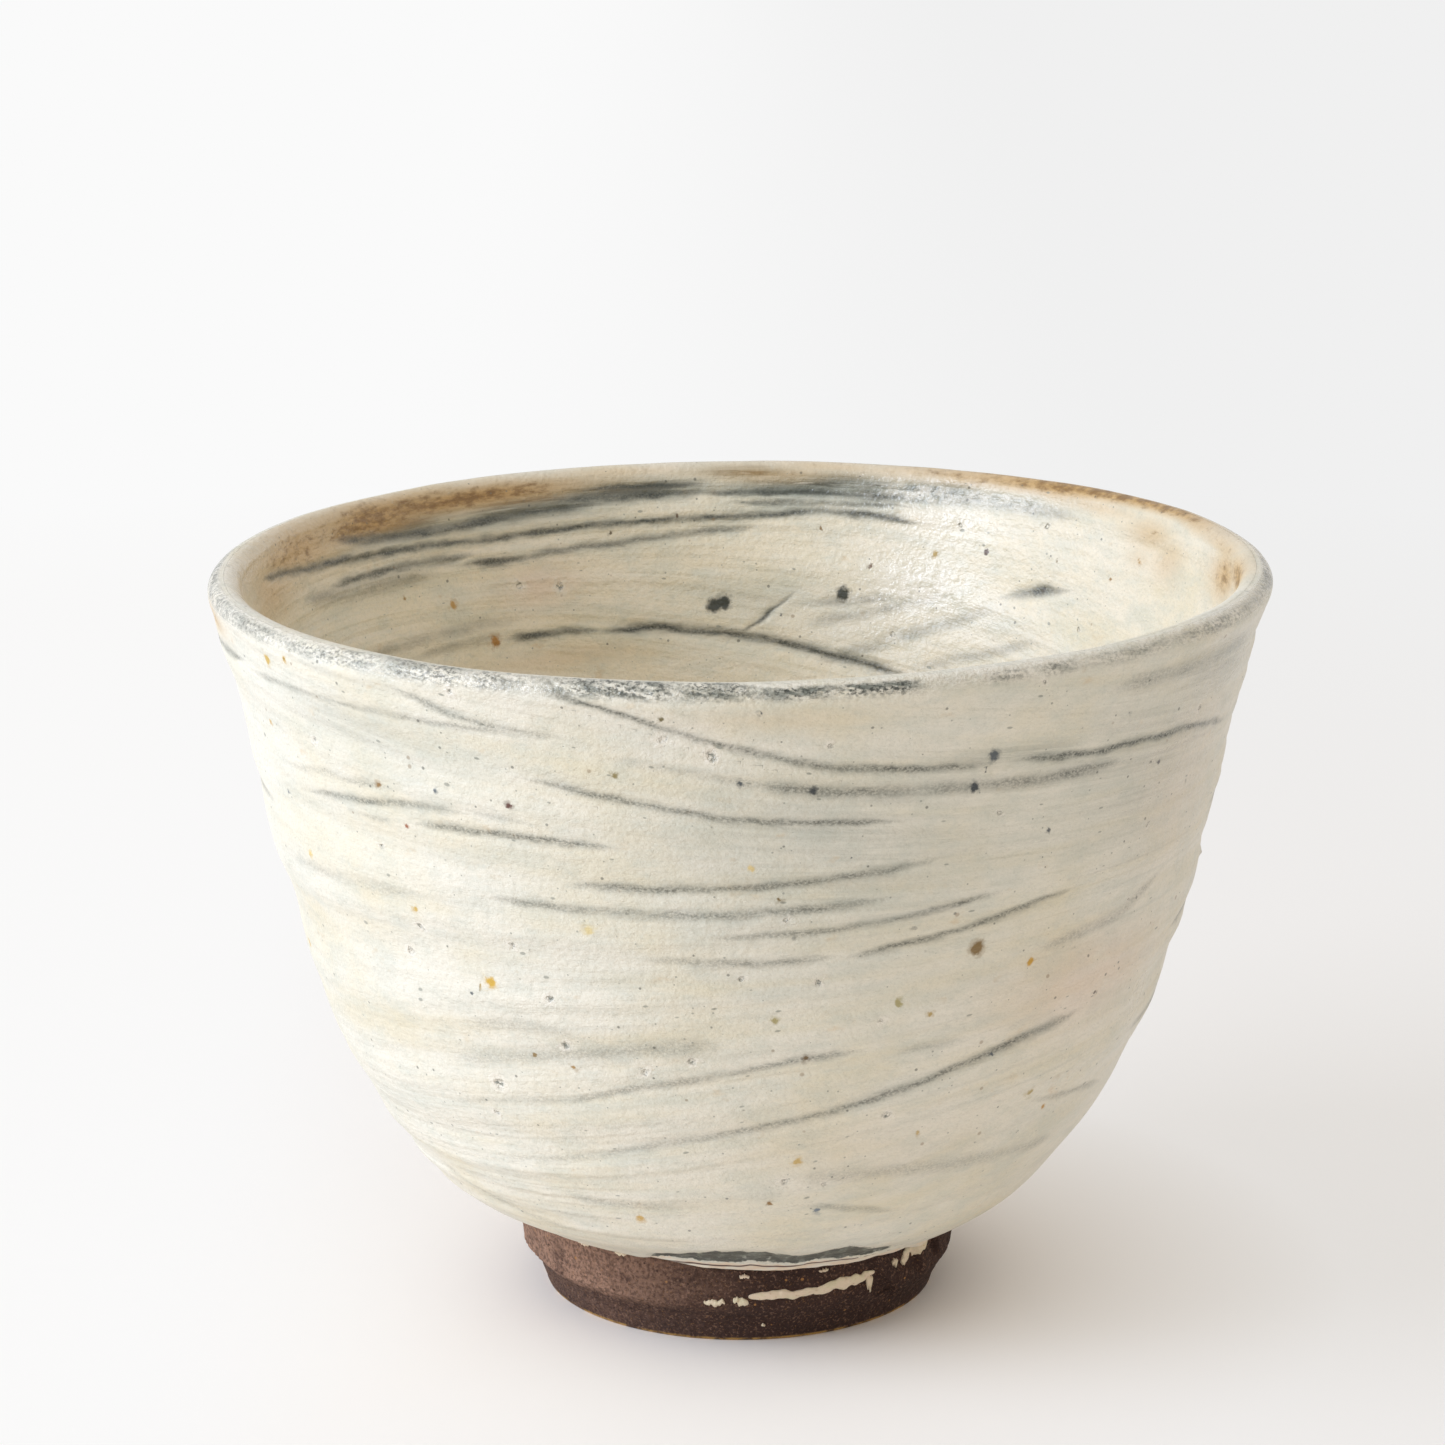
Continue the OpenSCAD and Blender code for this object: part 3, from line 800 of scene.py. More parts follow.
def outer_line(spec):
    """Clay's outside from the foot's side, round its corner, up the wall and past the crest."""
    wall = outer_wall(spec)
    corner = wall[0]
    reach = lengths(wall)
    first = np.argmax(reach > CORNER_REACH)
    low = corner - (0, CORNER_REACH)
    foot = np.array([corner - (0, 2 * CORNER_REACH), low])
    lip = arc(spec.lip_centre, spec.clay_lip_r, spec.lip_lean - math.pi / 2,
              math.pi / 2 + 2 * LIP_STEP, 120)
    return Line(np.concatenate([foot, fillet(low, corner, wall[first]), wall[first:], lip]))


def inner_line(spec):
    """Clay's inside from the centre of the floor, up the wall and past the crest."""
    lip = arc(spec.lip_centre, spec.clay_lip_r, spec.lip_lean + math.pi / 2,
              math.pi / 2 - 2 * LIP_STEP, 120)
    return Line(np.concatenate([inner_wall(spec), lip]))


def lip_bumps(azimuth, beyond):
    """Unevenness of the lip by signed distance from the crest, positive outside."""
    fade = smooth(1.5 - np.abs(beyond) / 2)
    return fade * (0.018 * lattice(azimuth, beyond, 90, 0.7, 21)
                   + 0.04 * lattice(azimuth, beyond, 25, 1.5, 22))


def coat_edges(azimuth, corner_at):
    """Lengths along the outer line at which the coat starts and the glaze starts."""
    level = 0 * azimuth
    ragged = lattice(azimuth, level, 70, 1.0, 31) + 0.6 * lattice(azimuth, level, 170, 1.0, 32)
    start = corner_at - along(EDGE_DROP, azimuth) + 0.1 * ragged
    torn = lattice(azimuth, level, 46, 1.0, 33) + 0.7 * lattice(azimuth, level, 130, 1.0, 34)
    return start, start + along(BARE_BAND, azimuth) * (1 + 0.16 * torn)


def lip_places(spec, line, turn):
    """Lengths along a line at which the wall's top and the crest lie, a turn apart, and the
    rows between them, from one step past the crest."""
    step = spec.clay_lip_r * LIP_STEP
    crest_at = line.total - 2 * step
    wall_top = crest_at - spec.clay_lip_r * turn
    return wall_top, crest_at, crest_at - step * np.arange(-1, round(turn / LIP_STEP) + 1)


def bare_strip(azimuth, s, glaze_at):
    """Share from 0 to 1 of the strip above the foot, where the glaze lies on bare clay.

    It starts just above the glaze's edge and ends at a torn line up to 6 mm higher.
    """
    level = 0 * s
    share = along(BARE_STRIP, azimuth)
    low = glaze_at + 0.15 + 0.15 * lattice(azimuth, level, 60, 1.0, 35)
    torn = lattice(azimuth, level, 58, 1.0, 36) + 0.6 * lattice(azimuth, level, 150, 1.0, 37)
    high = low + share * (4.3 + 0.7 * torn)
    return smooth((s - low) / 0.25) * smooth((high - s) / 2.4) * smooth(share * 4)


def finger_ridges(azimuth, s, wall_top):
    """Ridges of the thrower's fingers, in a spiral: depth * (cos(turns) - 1) / 2."""
    return FINGER_DEPTH * (np.cos(TURN * FINGER_TURNS * s / wall_top - azimuth) - 1) / 2


def worn_lip(azimuth, beyond):
    """Shares of painted sheen and of worn dark glaze along the lip, by distance outside the crest."""
    band = smooth((beyond - 0.05) / 0.15) * smooth((0.95 - beyond) / 0.45)
    worn = smooth((beyond - along(LIP_FIRST, azimuth)) / 0.15) * smooth((0.88 - beyond) / 0.35)
    return band, worn * along(LIP_WEAR, azimuth)


def lip_iron(azimuth, beyond):
    """Share of iron brown inside the lip, by distance from the crest."""
    iron, reach = (along([(row[0], row[k]) for row in LIP_IRON], azimuth) for k in (1, 2))
    top = along(LIP_IRON_TOP, azimuth)
    return iron * smooth(1.4 - beyond / reach) * (top + (1 - top) * smooth(beyond / 0.8))


def outer_coat(spec):
    """Grid of the outer coat: its face from the foot to the crest, then its back, on the clay.

    A point is the clay's line at length s, moved along its normal by the slip, the glaze, the
    relief and the lip's bumps. Slip and glaze begin with a quarter round.
    """
    line = outer_line(spec)
    corner_at = 2 * CORNER_REACH
    wall_top, crest_at, lip_rows = lip_places(spec, line, math.pi - spec.lip_lean)
    ring = turns(COAT_COLUMNS)[None, :]
    start, glaze_at = coat_edges(ring, corner_at)
    low = corner_at - ROWS_BELOW
    close = low + CLOSE_ROWS * (1 - np.cos(np.linspace(0, math.pi / 2, 7)))
    wall = np.linspace(close[-1], lip_rows[-1], 164)
    rows = np.concatenate([close, wall[1:], lip_rows[-2::-1]])[:, None]
    s = rows + (start - low) * (1 - smooth((rows - low) / 3.0))
    r, z, nr, nz = line.read(s)
    _, z_seen = warp(ring, r, z + nz * spec.coat, spec)
    azimuth = np.broadcast_to(ring, s.shape)
    beyond = crest_at - s
    strip = bare_strip(azimuth, s, glaze_at)
    slip = spec.slip * quarter_round((s - start) / EDGE_ROUND) * (1 - 0.7 * strip)
    glaze = spec.glaze * quarter_round((s - glaze_at) / EDGE_ROUND)
    shape = relief(azimuth, z_seen, r, OUTSIDE) + finger_ridges(azimuth, s, wall_top)
    fade = smooth((s - start) / 1.5) * smooth(beyond / 1.2 - 0.2)
    lift = slip + glaze + shape * fade + lip_bumps(azimuth, beyond)
    face = placed(azimuth, r + nr * lift, z + nz * lift, spec)
    back_s = np.linspace(crest_at, corner_at + 0.3, 12)[:, None] + 0 * start
    back_r, back_z, _, _ = line.read(back_s)
    back = placed(ring, back_r, back_z, spec)
    normals = np.concatenate([grid_normals(face)[:-1], grid_normals(back)])
    band, worn = worn_lip(azimuth, beyond)
    nothing = np.zeros_like(s)
    edge = np.stack([s - glaze_at, strip, nothing], -1)
    lip = np.stack([band, worn, nothing], -1)
    stain = stain_shares(OUTSIDE_STAINS, azimuth, z_seen)
    behind = (len(back), 1, 1)
    fields = [(name, kind, np.concatenate([values[:-1], np.tile(values[-1:], behind)]))
              for name, kind, values in coat_fields(azimuth, z_seen, r, edge, lip, stain, OUTSIDE)]
    return [(np.concatenate([face[:-1], back]), None)], normals.reshape(-1, 3), fields


def inner_coat(spec):
    """Grid of the inner coat: its back from the centre to the crest, then its face back down."""
    line = inner_line(spec)
    wall_top, crest_at, lip_rows = lip_places(spec, line, spec.lip_lean)
    ring = turns(COAT_COLUMNS)[None, :]
    upper = wall_top - 24
    rows = np.concatenate([lip_rows, np.linspace(lip_rows[-1], upper, 71)[1:],
                           np.linspace(upper, 0.4, 50)[1:]])[:, None]
    s = rows + 0 * ring
    r, z, nr, nz = line.read(s)
    nr, nz = -nr, -nz
    _, z_seen = warp(ring, r, z + nz * spec.coat, spec)
    azimuth = np.broadcast_to(ring, s.shape)
    beyond = crest_at - s
    fade = smooth(beyond / 1.2 - 0.2) * smooth(r / 6)
    lift = spec.coat + relief(azimuth, z_seen, r, INSIDE) * fade + lip_bumps(azimuth, -beyond)
    face = placed(azimuth, r + nr * lift, z + nz * lift, spec)
    back_s = np.linspace(0.6, crest_at, 16)[:, None] + 0 * ring
    back_r, back_z, _, _ = line.read(back_s)
    back = placed(ring, back_r, back_z, spec)
    normals = np.concatenate([grid_normals(back), grid_normals(face)[1:]])
    normals = np.concatenate([normals.reshape(-1, 3), [(0, 0, -1), (0, 0, 1)]])
    nothing = np.zeros_like(s)
    edge = np.stack([np.full_like(s, FAR), nothing, nothing], -1)
    # Its third part marks the inside, which the material paints lighter with bounce light
    lip = np.stack([nothing, nothing, 0.4 * smooth(beyond)], -1)
    stain = stain_shares(INSIDE_STAINS, azimuth, z_seen)
    stain[..., 0] = np.maximum(stain[..., 0], lip_iron(azimuth, beyond))
    behind = (len(back), 1, 1)
    fields = [(name, kind, with_poles(np.concatenate([np.tile(values[:1], behind), values[1:]])))
              for name, kind, values in coat_fields(azimuth, z_seen, r, edge, lip, stain, INSIDE)]
    floor = spec.floor_height
    poles = [(0, 0, floor * MM), (0, 0, (floor + spec.coat) * MM)]
    return [(np.concatenate([back, face[1:]]), poles)], normals, fields


def coat_fields(azimuth, height, r, edge, lip, stain, side):
    """Fields that the glaze's material reads, one value for each point of the face."""
    layers = stroke_layers(side.strokes, azimuth, height)
    speck, index = nearest_spots(side.specks, azimuth, height, r)
    pit, _ = nearest_spots(side.pits, azimuth, height, r)
    tints = np.array([linear(row[3]) + (1,) for row in side.specks])
    path = brush_height(azimuth, height, side.inside)
    flow = np.stack([r * np.sin(azimuth), r * np.cos(azimuth), path], -1)
    vectors = {f"stroke_{k}": layers[..., k, :] for k in range(STROKE_LAYERS)}
    vectors |= {"speck": speck, "pit": pit, "flow": flow, "edge": edge, "lip": lip}
    colours = {"speck_tint": tints[index], "stain": stain}
    return ([(name, "FLOAT_VECTOR", values) for name, values in vectors.items()]
            + [(name, "FLOAT_COLOR", values) for name, values in colours.items()])


def with_poles(values):
    """A field's values in one list, with the last row's mean for each of the two poles."""
    flat = values.reshape(-1, values.shape[-1])
    pole = values[-1].mean(0, keepdims=True)
    return np.concatenate([flat, pole, pole])


# How far in mm the foot's side lies outside its drawn outline, by height
FOOT_TAPER = (
    (0.0, -0.05), (0.45, -0.4), (1.0, -0.74), (1.9, -0.7), (2.6, -0.4), (3.1, -0.22), (4.0, -0.06),
    (6.0, 0.08),
)
# Turned lines, dents, grit, ledge and gouges of the foot, in mm, and the ledge's height
LINES, DENTS, GRIT, LEDGE, GOUGES = 0.035, 0.09, 0.05, 0.16, 0.42
LEDGE_AT = 2.65
# Width and height in mm of the slope inside the resting face, and the width of a moving
# average that rounds the foot's corners
REST_SLOPE = (0.25, 0.5)
FOOT_SOFTEN = 0.36
# Points of the foot round the cup and round its outline, and of the bowl's clay round the cup
FOOT_COLUMNS, FOOT_ROWS, BOWL_COLUMNS = 720, 132, 240


def foot_offset(azimuth, z):
    """Marks of turning on the foot, in mm: lines, dents, grit, a ledge and a few gouges.

    To them comes the taper of the foot's side, which is weaker on the right.
    """
    degrees = np.degrees((azimuth + math.pi) % TURN - math.pi)
    lines = LINES * lattice(azimuth, z, 8, 0.33, 41)
    dents = DENTS * lattice(azimuth, z, 26, 2.2, 42)
    grit = GRIT * lattice(azimuth, z, 260, 0.36, 43)
    ledge = LEDGE * np.exp(-((z - LEDGE_AT) / 0.22) ** 2) * smooth((10 - degrees) / 40)
    gouged = smooth((degrees - 30) / 10) * smooth((80 - degrees) / 10) * smooth((z - 1) / 1.5)
    gouges = GOUGES * gouged * smooth(lattice(azimuth + 0.05 * z, z, 100, 2.2, 44) * 1.6)
    right = 1 + np.sin(azimuth)
    taper = np.interp(z, *np.array(FOOT_TAPER).T) * (1 - 0.15 * right) - 0.08 * right * smooth(z / 0.8)
    return (lines + dents + grit + ledge - gouges) * smooth(z / 0.8 + 0.1) + taper


def foot_outline(spec):
    """Outline of the foot ring, from the middle of its hidden top round under it and back."""
    inner_r = spec.rest_r - spec.rest_band
    top_r = (spec.foot_r + spec.recess_r) / 2
    bevel_width = spec.foot_r - spec.rest_r
    bevel = [(spec.rest_r + x * bevel_width, y * spec.bevel_height) for x, y in BEVEL_SHARES]
    points = [(top_r, spec.foot_height), (spec.recess_r, spec.foot_height),
              (spec.recess_r, spec.recess_depth), (inner_r - REST_SLOPE[0], REST_SLOPE[1]),
              (inner_r, 0.0)]
    points += bevel + [(spec.foot_r, spec.foot_height), (top_r, spec.foot_height)]
    return Line(np.array(points), soften=FOOT_SOFTEN)


def foot_ring(spec):
    """Grid of the foot ring: its outline turned about the axis, moved out by its marks."""
    line = foot_outline(spec)
    azimuth = turns(FOOT_COLUMNS)[None, :]
    s = np.linspace(0, line.total, FOOT_ROWS)[:-1, None] + 0 * azimuth
    r, z, nr, nz = line.read(s)
    offset = foot_offset(azimuth, z) * (nr > 0.3)
    return placed(azimuth, r + nr * offset, z + nz * offset, spec)


def clay_bowl(spec):
    """Grid of the bowl's clay, from the boss under it, up the outside and down the inside."""
    steps = np.linspace(0, 1, 40)[1:]
    ceiling_r = spec.recess_r * steps
    boss = spec.boss_height * (1 + np.cos(np.clip(ceiling_r / spec.boss_r, 0, 1) * math.pi)) / 2
    ceiling = np.stack([ceiling_r, spec.recess_depth - boss], 1)
    plug = np.array([(spec.recess_r, spec.foot_height)])
    outside, inside = outer_wall(spec)[::8], inner_wall(spec)[::-8]
    lip = arc(spec.lip_centre, spec.clay_lip_r, spec.lip_lean - math.pi / 2,
              spec.lip_lean + math.pi / 2, 12)
    outline = np.concatenate([ceiling, plug, outside, lip[1:-1], inside[:-1]])
    azimuth = turns(BOWL_COLUMNS)[None, :]
    r, z = outline[:, :1] + 0 * azimuth, outline[:, 1:] + 0 * azimuth
    under = (np.arange(len(outline)) < len(ceiling))[:, None]
    spiral = 0.07 * np.cos(TURN * r / 1.3 - azimuth) * smooth(r / 1.5)
    rough = 0.05 * lattice(azimuth, r, 60, 0.9, 51)
    marks = under * (spiral + rough) * smooth(spec.recess_r - r)
    points = placed(azimuth, r, z + marks, spec)
    poles = [(0, 0, (spec.recess_depth - spec.boss_height) * MM), (0, 0, spec.floor_height * MM)]
    return points, poles


# Slip on the foot: azimuth, width in degrees, height, breadth, rise and ragged share
FOOT_STREAKS = (
    (-6.5, 5.5, 3.2, 0.4, 0.05, 0.35), (0.3, 4.0, 3.3, 0.5, -0.12, 0.4),
    (11.5, 18.5, 3.72, 0.62, 0.1, 0.22), (28.5, 18.5, 3.98, 0.8, 0.16, 0.22),
    (36.6, 2.2, 3.6, 1.05, 0.0, 0.4),
    (1.2, 2.6, 5.1, 0.3, 0.0, 0.4), (22, 2.8, 5.2, 0.22, 0.0, 0.5), (46, 2.2, 4.3, 0.5, 0.0, 0.4),
    (54, 9, 4.9, 1.3, 0.3, 0.6), (50.5, 3.4, 4.35, 0.8, 0.1, 0.5),
    (-44, 4.0, 5.45, 0.26, -0.05, 0.5), (-31.5, 3.6, 5.45, 0.24, 0.0, 0.5),
    (6.5, 1.1, 1.3, 0.22, 0.0, 0.5),
    (112, 14, 4.8, 0.7, 0.2, 0.6), (163, 20, 4.0, 0.65, -0.2, 0.6), (214, 8, 4.7, 0.6, 0.1, 0.6),
    (262, 12, 3.6, 0.5, 0.1, 0.6),
)


def foot_streaks(spec):
    """Grids of the slip on the foot: each is a flat drop whose outline is ragged.

    Along u, from -1 to 1, the half breadth is the root of 1 - u * u times a noise, and the
    ring of points at each u goes over the drop's top and back under it.
    """
    side = foot_outline(spec)
    outside = side.at > side.total * 0.5
    grids = []
    for k, (place, wide, level, breadth, rise, ragged) in enumerate(FOOT_STREAKS):
        u = np.cos(np.linspace(math.pi, 0, 46))[1:-1, None]
        ring = np.linspace(0, TURN, 25)[:-1][None, :]
        swell = 1 + ragged * lattice(u * 0.4, u * 6 + 9 * k, 9, 1.0, 61) * np.ones_like(ring)
        lean = 0.25 * breadth * lattice(u * 0.3, u * 4 + 5 * k, 9, 1.0, 62)
        half = breadth / 2 * np.sqrt(1 - u * u) ** 0.7 * swell
        azimuth = np.radians(place + wide / 2 * u) + 0 * ring
        z = level + rise * u + lean + half * np.cos(ring)
        thick = 0.16 * np.clip(np.sin(ring), -0.6, 1) * np.sqrt(1 - u * u) ** 0.5
        order = np.argsort(side.points[outside, 1])
        base = np.interp(z, side.points[outside, 1][order], side.points[outside, 0][order])
        r = base + foot_offset(azimuth, z) + thick + 0.03
        points = placed(azimuth, r, z, spec)
        ends = [points[0].mean(0), points[-1].mean(0)]
        grids.append((points, ends))
    return grids


# Settings of a step with level ends
SMOOTH = {"interpolation_type": "SMOOTHSTEP"}


def add(tree, kind, inputs, out=0, **settings):
    """Adds a shader node with its settings, fills the inputs given by place with values or
    links, and returns one of its outputs."""
    node = tree.nodes.new("ShaderNode" + kind)
    for name, value in settings.items():
        setattr(node, name, value)
    for place, value in inputs.items():
        if isinstance(value, bpy.types.NodeSocket):
            tree.links.new(value, node.inputs[place])
        else:
            node.inputs[place].default_value = value
    return node.outputs[out] if node.outputs else None


def new_material(name):
    """An empty material: it, its node tree, and Object coordinates in millimetres."""
    material = bpy.data.materials.new(name)
    material.use_nodes = True
    tree = material.node_tree
    tree.nodes.clear()
    place = add(tree, "TexCoord", {}, "Object")
    return material, tree, add(tree, "VectorMath", {0: place, 3: 1 / MM}, operation="SCALE")


def patches(tree, place, sizes, low, high, share=1.0, detail=3.0, rough=0.6):
    """Cloudy patches: noise with lumps of the sizes in mm along X, Y and Z, stepped smoothly
    from 0 at low to share at high."""
    scaled = add(tree, "VectorMath", {0: place, 1: [1 / size for size in sizes]}, operation="MULTIPLY")
    noise = add(tree, "TexNoise", {0: scaled, 2: 1.0, 3: detail, 4: rough})
    return add(tree, "MapRange", {0: noise, 1: low, 2: high, 4: share}, **SMOOTH)


def broken(tree, place, sizes, mask, top, soft, detail=3.0):
    """A mask broken up into patches: noise above a threshold that falls from 0.8 where the
    mask is 0 to 0.2 where it is 1, times top."""
    low = add(tree, "MapRange", {0: mask, 3: 0.8, 4: 0.2})
    high = add(tree, "Math", {0: low, 1: soft}, operation="ADD")
    return patches(tree, place, sizes, low, high, top, detail)


def grains(tree, place, cell, kept, radius, share):
    """Scattered round grains: cells of a size in mm, of which the kept share has one grain
    each, up to a radius in mm."""
    dots = add(tree, "TexVoronoi", {0: place, 2: 1 / cell}, "Distance")
    cells = dots.node.outputs["Color"]
    chance = add(tree, "SeparateXYZ", {0: cells}, 0)
    size = add(tree, "MapRange", {0: chance.node.outputs[1], 3: radius * 0.45, 4: radius})
    reach = add(tree, "Math", {0: dots, 1: cell}, operation="MULTIPLY")
    reach = add(tree, "Math", {0: reach, 1: size}, operation="DIVIDE")
    here = add(tree, "MapRange", {0: chance, 1: kept, 2: kept - 0.01, 4: share})
    return add(tree, "MapRange", {0: reach, 1: 1.1, 2: 0.6, 4: here}, **SMOOTH)


def field(tree, name, output="Vector"):
    """The parts of a piece's attribute: the three of its vector, or its alpha."""
    value = add(tree, "Attribute", {}, output, attribute_name=name)
    return value if output != "Vector" else add(tree, "SeparateXYZ", {0: value}).node.outputs


def spot(tree, name, ragged, inner, outer, share):
    """A spot around the nearest point of a field: share inside inner radii, 0 past outer."""
    across, up, radius = field(tree, name)[:3]
    away = add(tree, "CombineXYZ", {0: across, 1: up})
    away = add(tree, "VectorMath", {0: away}, 1, operation="LENGTH")
    away = add(tree, "Math", {0: away, 1: ragged}, operation="ADD")
    away = add(tree, "Math", {0: away, 1: radius}, operation="DIVIDE")
    return add(tree, "MapRange", {0: away, 1: outer, 2: inner, 4: share}, **SMOOTH)


def painted(tree, base, layers):
    """Colour after each (mask, tint) of the layers is laid over the base."""
    colour = base
    for mask, shade in layers:
        shade = shade if isinstance(shade, bpy.types.NodeSocket) else (*shade, 1)
        colour = add(tree, "Mix", {0: mask, 6: colour, 7: shade}, 2, data_type="RGBA")
    return colour


def bumped(tree, heights):
    """Normal from a sum of patterns, each times its own height in mm."""
    total = 0.0
    for pattern, height in heights:
        total = add(tree, "Math", {0: pattern, 1: height, 2: total}, operation="MULTIPLY_ADD")
    return add(tree, "Bump", {"Height": total, "Distance": MM, "Strength": 1.0})


def glazed_slip(name, colours):
    """Brushed white slip under a clear satin glaze, on iron-bearing stoneware.

    Slip is warm white, and greyer where the brush left it thin or parted it. The clay's iron
    bleeds gold and black through the glaze, which is smooth but not mirror bright.
    """
    material, tree, place = new_material(name)
    flow = add(tree, "Attribute", {}, "Vector", attribute_name="flow")
    glazed, strip = field(tree, "edge")[:2]
    band, worn, within = field(tree, "lip")[:3]
    brown, blush, wash = field(tree, "stain")[:3]
    sheen_stain = field(tree, "stain", "Alpha")

    # Lines of the brush show only where the wash is strong
    lines = add(tree, "Math", {0: wash, 1: wash}, operation="MULTIPLY")
    # Brush hairs are 0.3 mm apart and the bands that they leave 1 to 2 mm
    bands = patches(tree, flow, (26, 26, 1.9), 0.3, 0.75, detail=2.0)
    hairs = patches(tree, flow, (12, 12, 0.34), 0.25, 0.75)
    layers = [
        (patches(tree, place, (9, 9, 7), 0.42, 0.72, 0.5), colours.warm),
        (patches(tree, flow, (22, 22, 2.4), 0.44, 0.72, 0.45, 2.0), colours.warm),
        # Painted bounce light: the inside is lighter and warmer
        (within, colours.inside_bounce_light),
        (patches(tree, place, (7, 7, 2.0), 0.45, 0.75, within), colours.warm),
        (patches(tree, flow, (24, 24, 2.0), 0.52, 0.84, 0.42, 2.0), colours.cool),
        (patches(tree, flow, (30, 30, 0.9), 0.56, 0.8, 0.15, 2.0), colours.streak),
        (patches(tree, flow, (12, 12, 0.34), 0.56, 0.86, 0.1), colours.cool),
        (patches(tree, place, (3.0, 3.0, 1.4), 0.4, 0.72, 0.4), colours.cool),
        (patches(tree, place, (0.7, 0.7, 0.5), 0.48, 0.78, 0.3), colours.cool),
        (patches(tree, place, (0.24, 0.24, 0.18), 0.46, 0.76, 0.14), colours.streak),
        (patches(tree, place, (1.6, 1.6, 0.8), 0.1, 0.6, wash), colours.cool),
        (patches(tree, flow, (12, 12, 0.8), 0.26, 0.5, lines, 4.0), colours.streak),
        (patches(tree, flow, (9, 9, 0.42), 0.44, 0.58, lines, 4.0), colours.dark),
        (patches(tree, flow, (5, 5, 0.45), 0.58, 0.7, lines, 4.0), colours.slip),
        (patches(tree, place, (2.4, 2.4, 1.5), 0.64, 0.8, 0.3), colours.toast),
        (patches(tree, place, (3, 3, 2), 0.05, 0.5, blush), colours.blush),
        (patches(tree, place, (1.0, 1.0, 0.8), 0.0, 0.4, brown), colours.toast),
        (broken(tree, place, (0.9, 0.9, 0.35), brown, 0.85, 0.4), colours.iron),
    ]

    # Strokes: parted slip, whose edge wanders by 0.2 mm and whose depth changes every few
    # millimetres. Strong ones have a dark core, speckled by bubbles 0.15 mm across.
    drift = patches(tree, place, (2.2, 2.2, 0.8), 0.2, 0.8)
    drift = add(tree, "MapRange", {0: drift, 3: -0.14, 4: 0.14})
    groove = core = 0.0
    for layer in range(STROKE_LAYERS):
        offset, half, strength = field(tree, f"stroke_{layer}")[:3]
        away = add(tree, "Math", {0: offset, 1: drift}, operation="ADD")
        away = add(tree, "Math", {0: away}, operation="ABSOLUTE")
        away = add(tree, "Math", {0: away, 1: half}, operation="DIVIDE")
        wide = add(tree, "MapRange", {0: away, 1: STROKE_DRAWN, 2: 0.0, 4: strength}, **SMOOTH)
        thin = add(tree, "MapRange", {0: away, 1: STROKE_CORE, 2: 0.0, 4: strength}, **SMOOTH)
        groove = add(tree, "Math", {0: groove, 1: wide}, operation="MAXIMUM")
        core = add(tree, "Math", {0: core, 1: thin}, operation="MAXIMUM")
    depth = patches(tree, flow, (3.2, 3.2, 1.6), 0.25, 0.62)
    depth = add(tree, "MapRange", {0: depth, 3: 0.3, 4: 1.0})
    core = add(tree, "Math", {0: core, 1: depth}, operation="MULTIPLY")
    halo = add(tree, "MapRange", {0: groove, 1: 0.15, 2: 1.0, 4: 0.52})
    fine = add(tree, "MapRange", {0: within, 2: 0.4, 3: 0.28, 4: -0.1})
    layers += [
        (patches(tree, flow, (4, 4, 0.5), 0.05, 0.5, halo), colours.streak),
        (patches(tree, place, (0.2, 0.2, 0.13), fine, 0.66, core), colours.dark),
    ]

    # Lip: a painted sheen and dark specks just outside the crest, where the coats are thin and worn
    sheen_share = add(tree, "Math", {0: band, 1: 0.55}, operation="MULTIPLY")
    sheen_share = add(tree, "Math", {0: sheen_share, 1: sheen_stain}, operation="MAXIMUM")
    layers += [
        (patches(tree, place, (0.8, 0.8, 0.5), 0.32, 0.62, sheen_share), colours.sheen_white),
        (patches(tree, flow, (2.4, 2.4, 0.4), 0.4, 0.64, worn), colours.streak),
        (patches(tree, place, (0.3, 0.3, 0.18), 0.42, 0.64, worn), colours.dark),
    ]

    # Iron specks: those of the photo, then fine ones up to 0.2 mm across all over
    ragged = patches(tree, place, (0.4, 0.4, 0.4), 0.2, 0.8, 0.3)
    frayed = patches(tree, place, (0.6, 0.6, 0.5), 0.25, 0.75, 0.75)
    dashes = add(tree, "VectorMath", {0: flow, 1: (0.45, 0.45, 1.0)}, operation="MULTIPLY")
    speck_tint = add(tree, "Attribute", {}, "Color", attribute_name="speck_tint")
    layers += [
        (spot(tree, "speck", frayed, 0.9, 2.2, 0.4), speck_tint),
        (spot(tree, "speck", ragged, 0.7, 1.25, 0.95), speck_tint),
        (grains(tree, place, 1.1, 0.36, 0.14, 0.6), colours.dark),
        (grains(tree, place, 1.9, 0.26, 0.2, 0.45), colours.iron),
        (grains(tree, place, 0.6, 0.35, 0.09, 0.55), colours.streak),
        (grains(tree, dashes, 0.9, 0.36, 0.12, 0.6), colours.streak),
    ]
    # Craters of burst bubbles: a painted highlight on the rim round a grey hollow
    hole = spot(tree, "pit", ragged, 0.35, 1.0, 1.0)
    rim = spot(tree, "pit", frayed, 0.9, 2.2, 0.6)
    layers += [
        (rim, colours.sheen_white),
        (patches(tree, place, (0.3, 0.3, 0.22), 0.42, 0.62, hole), colours.streak),
    ]

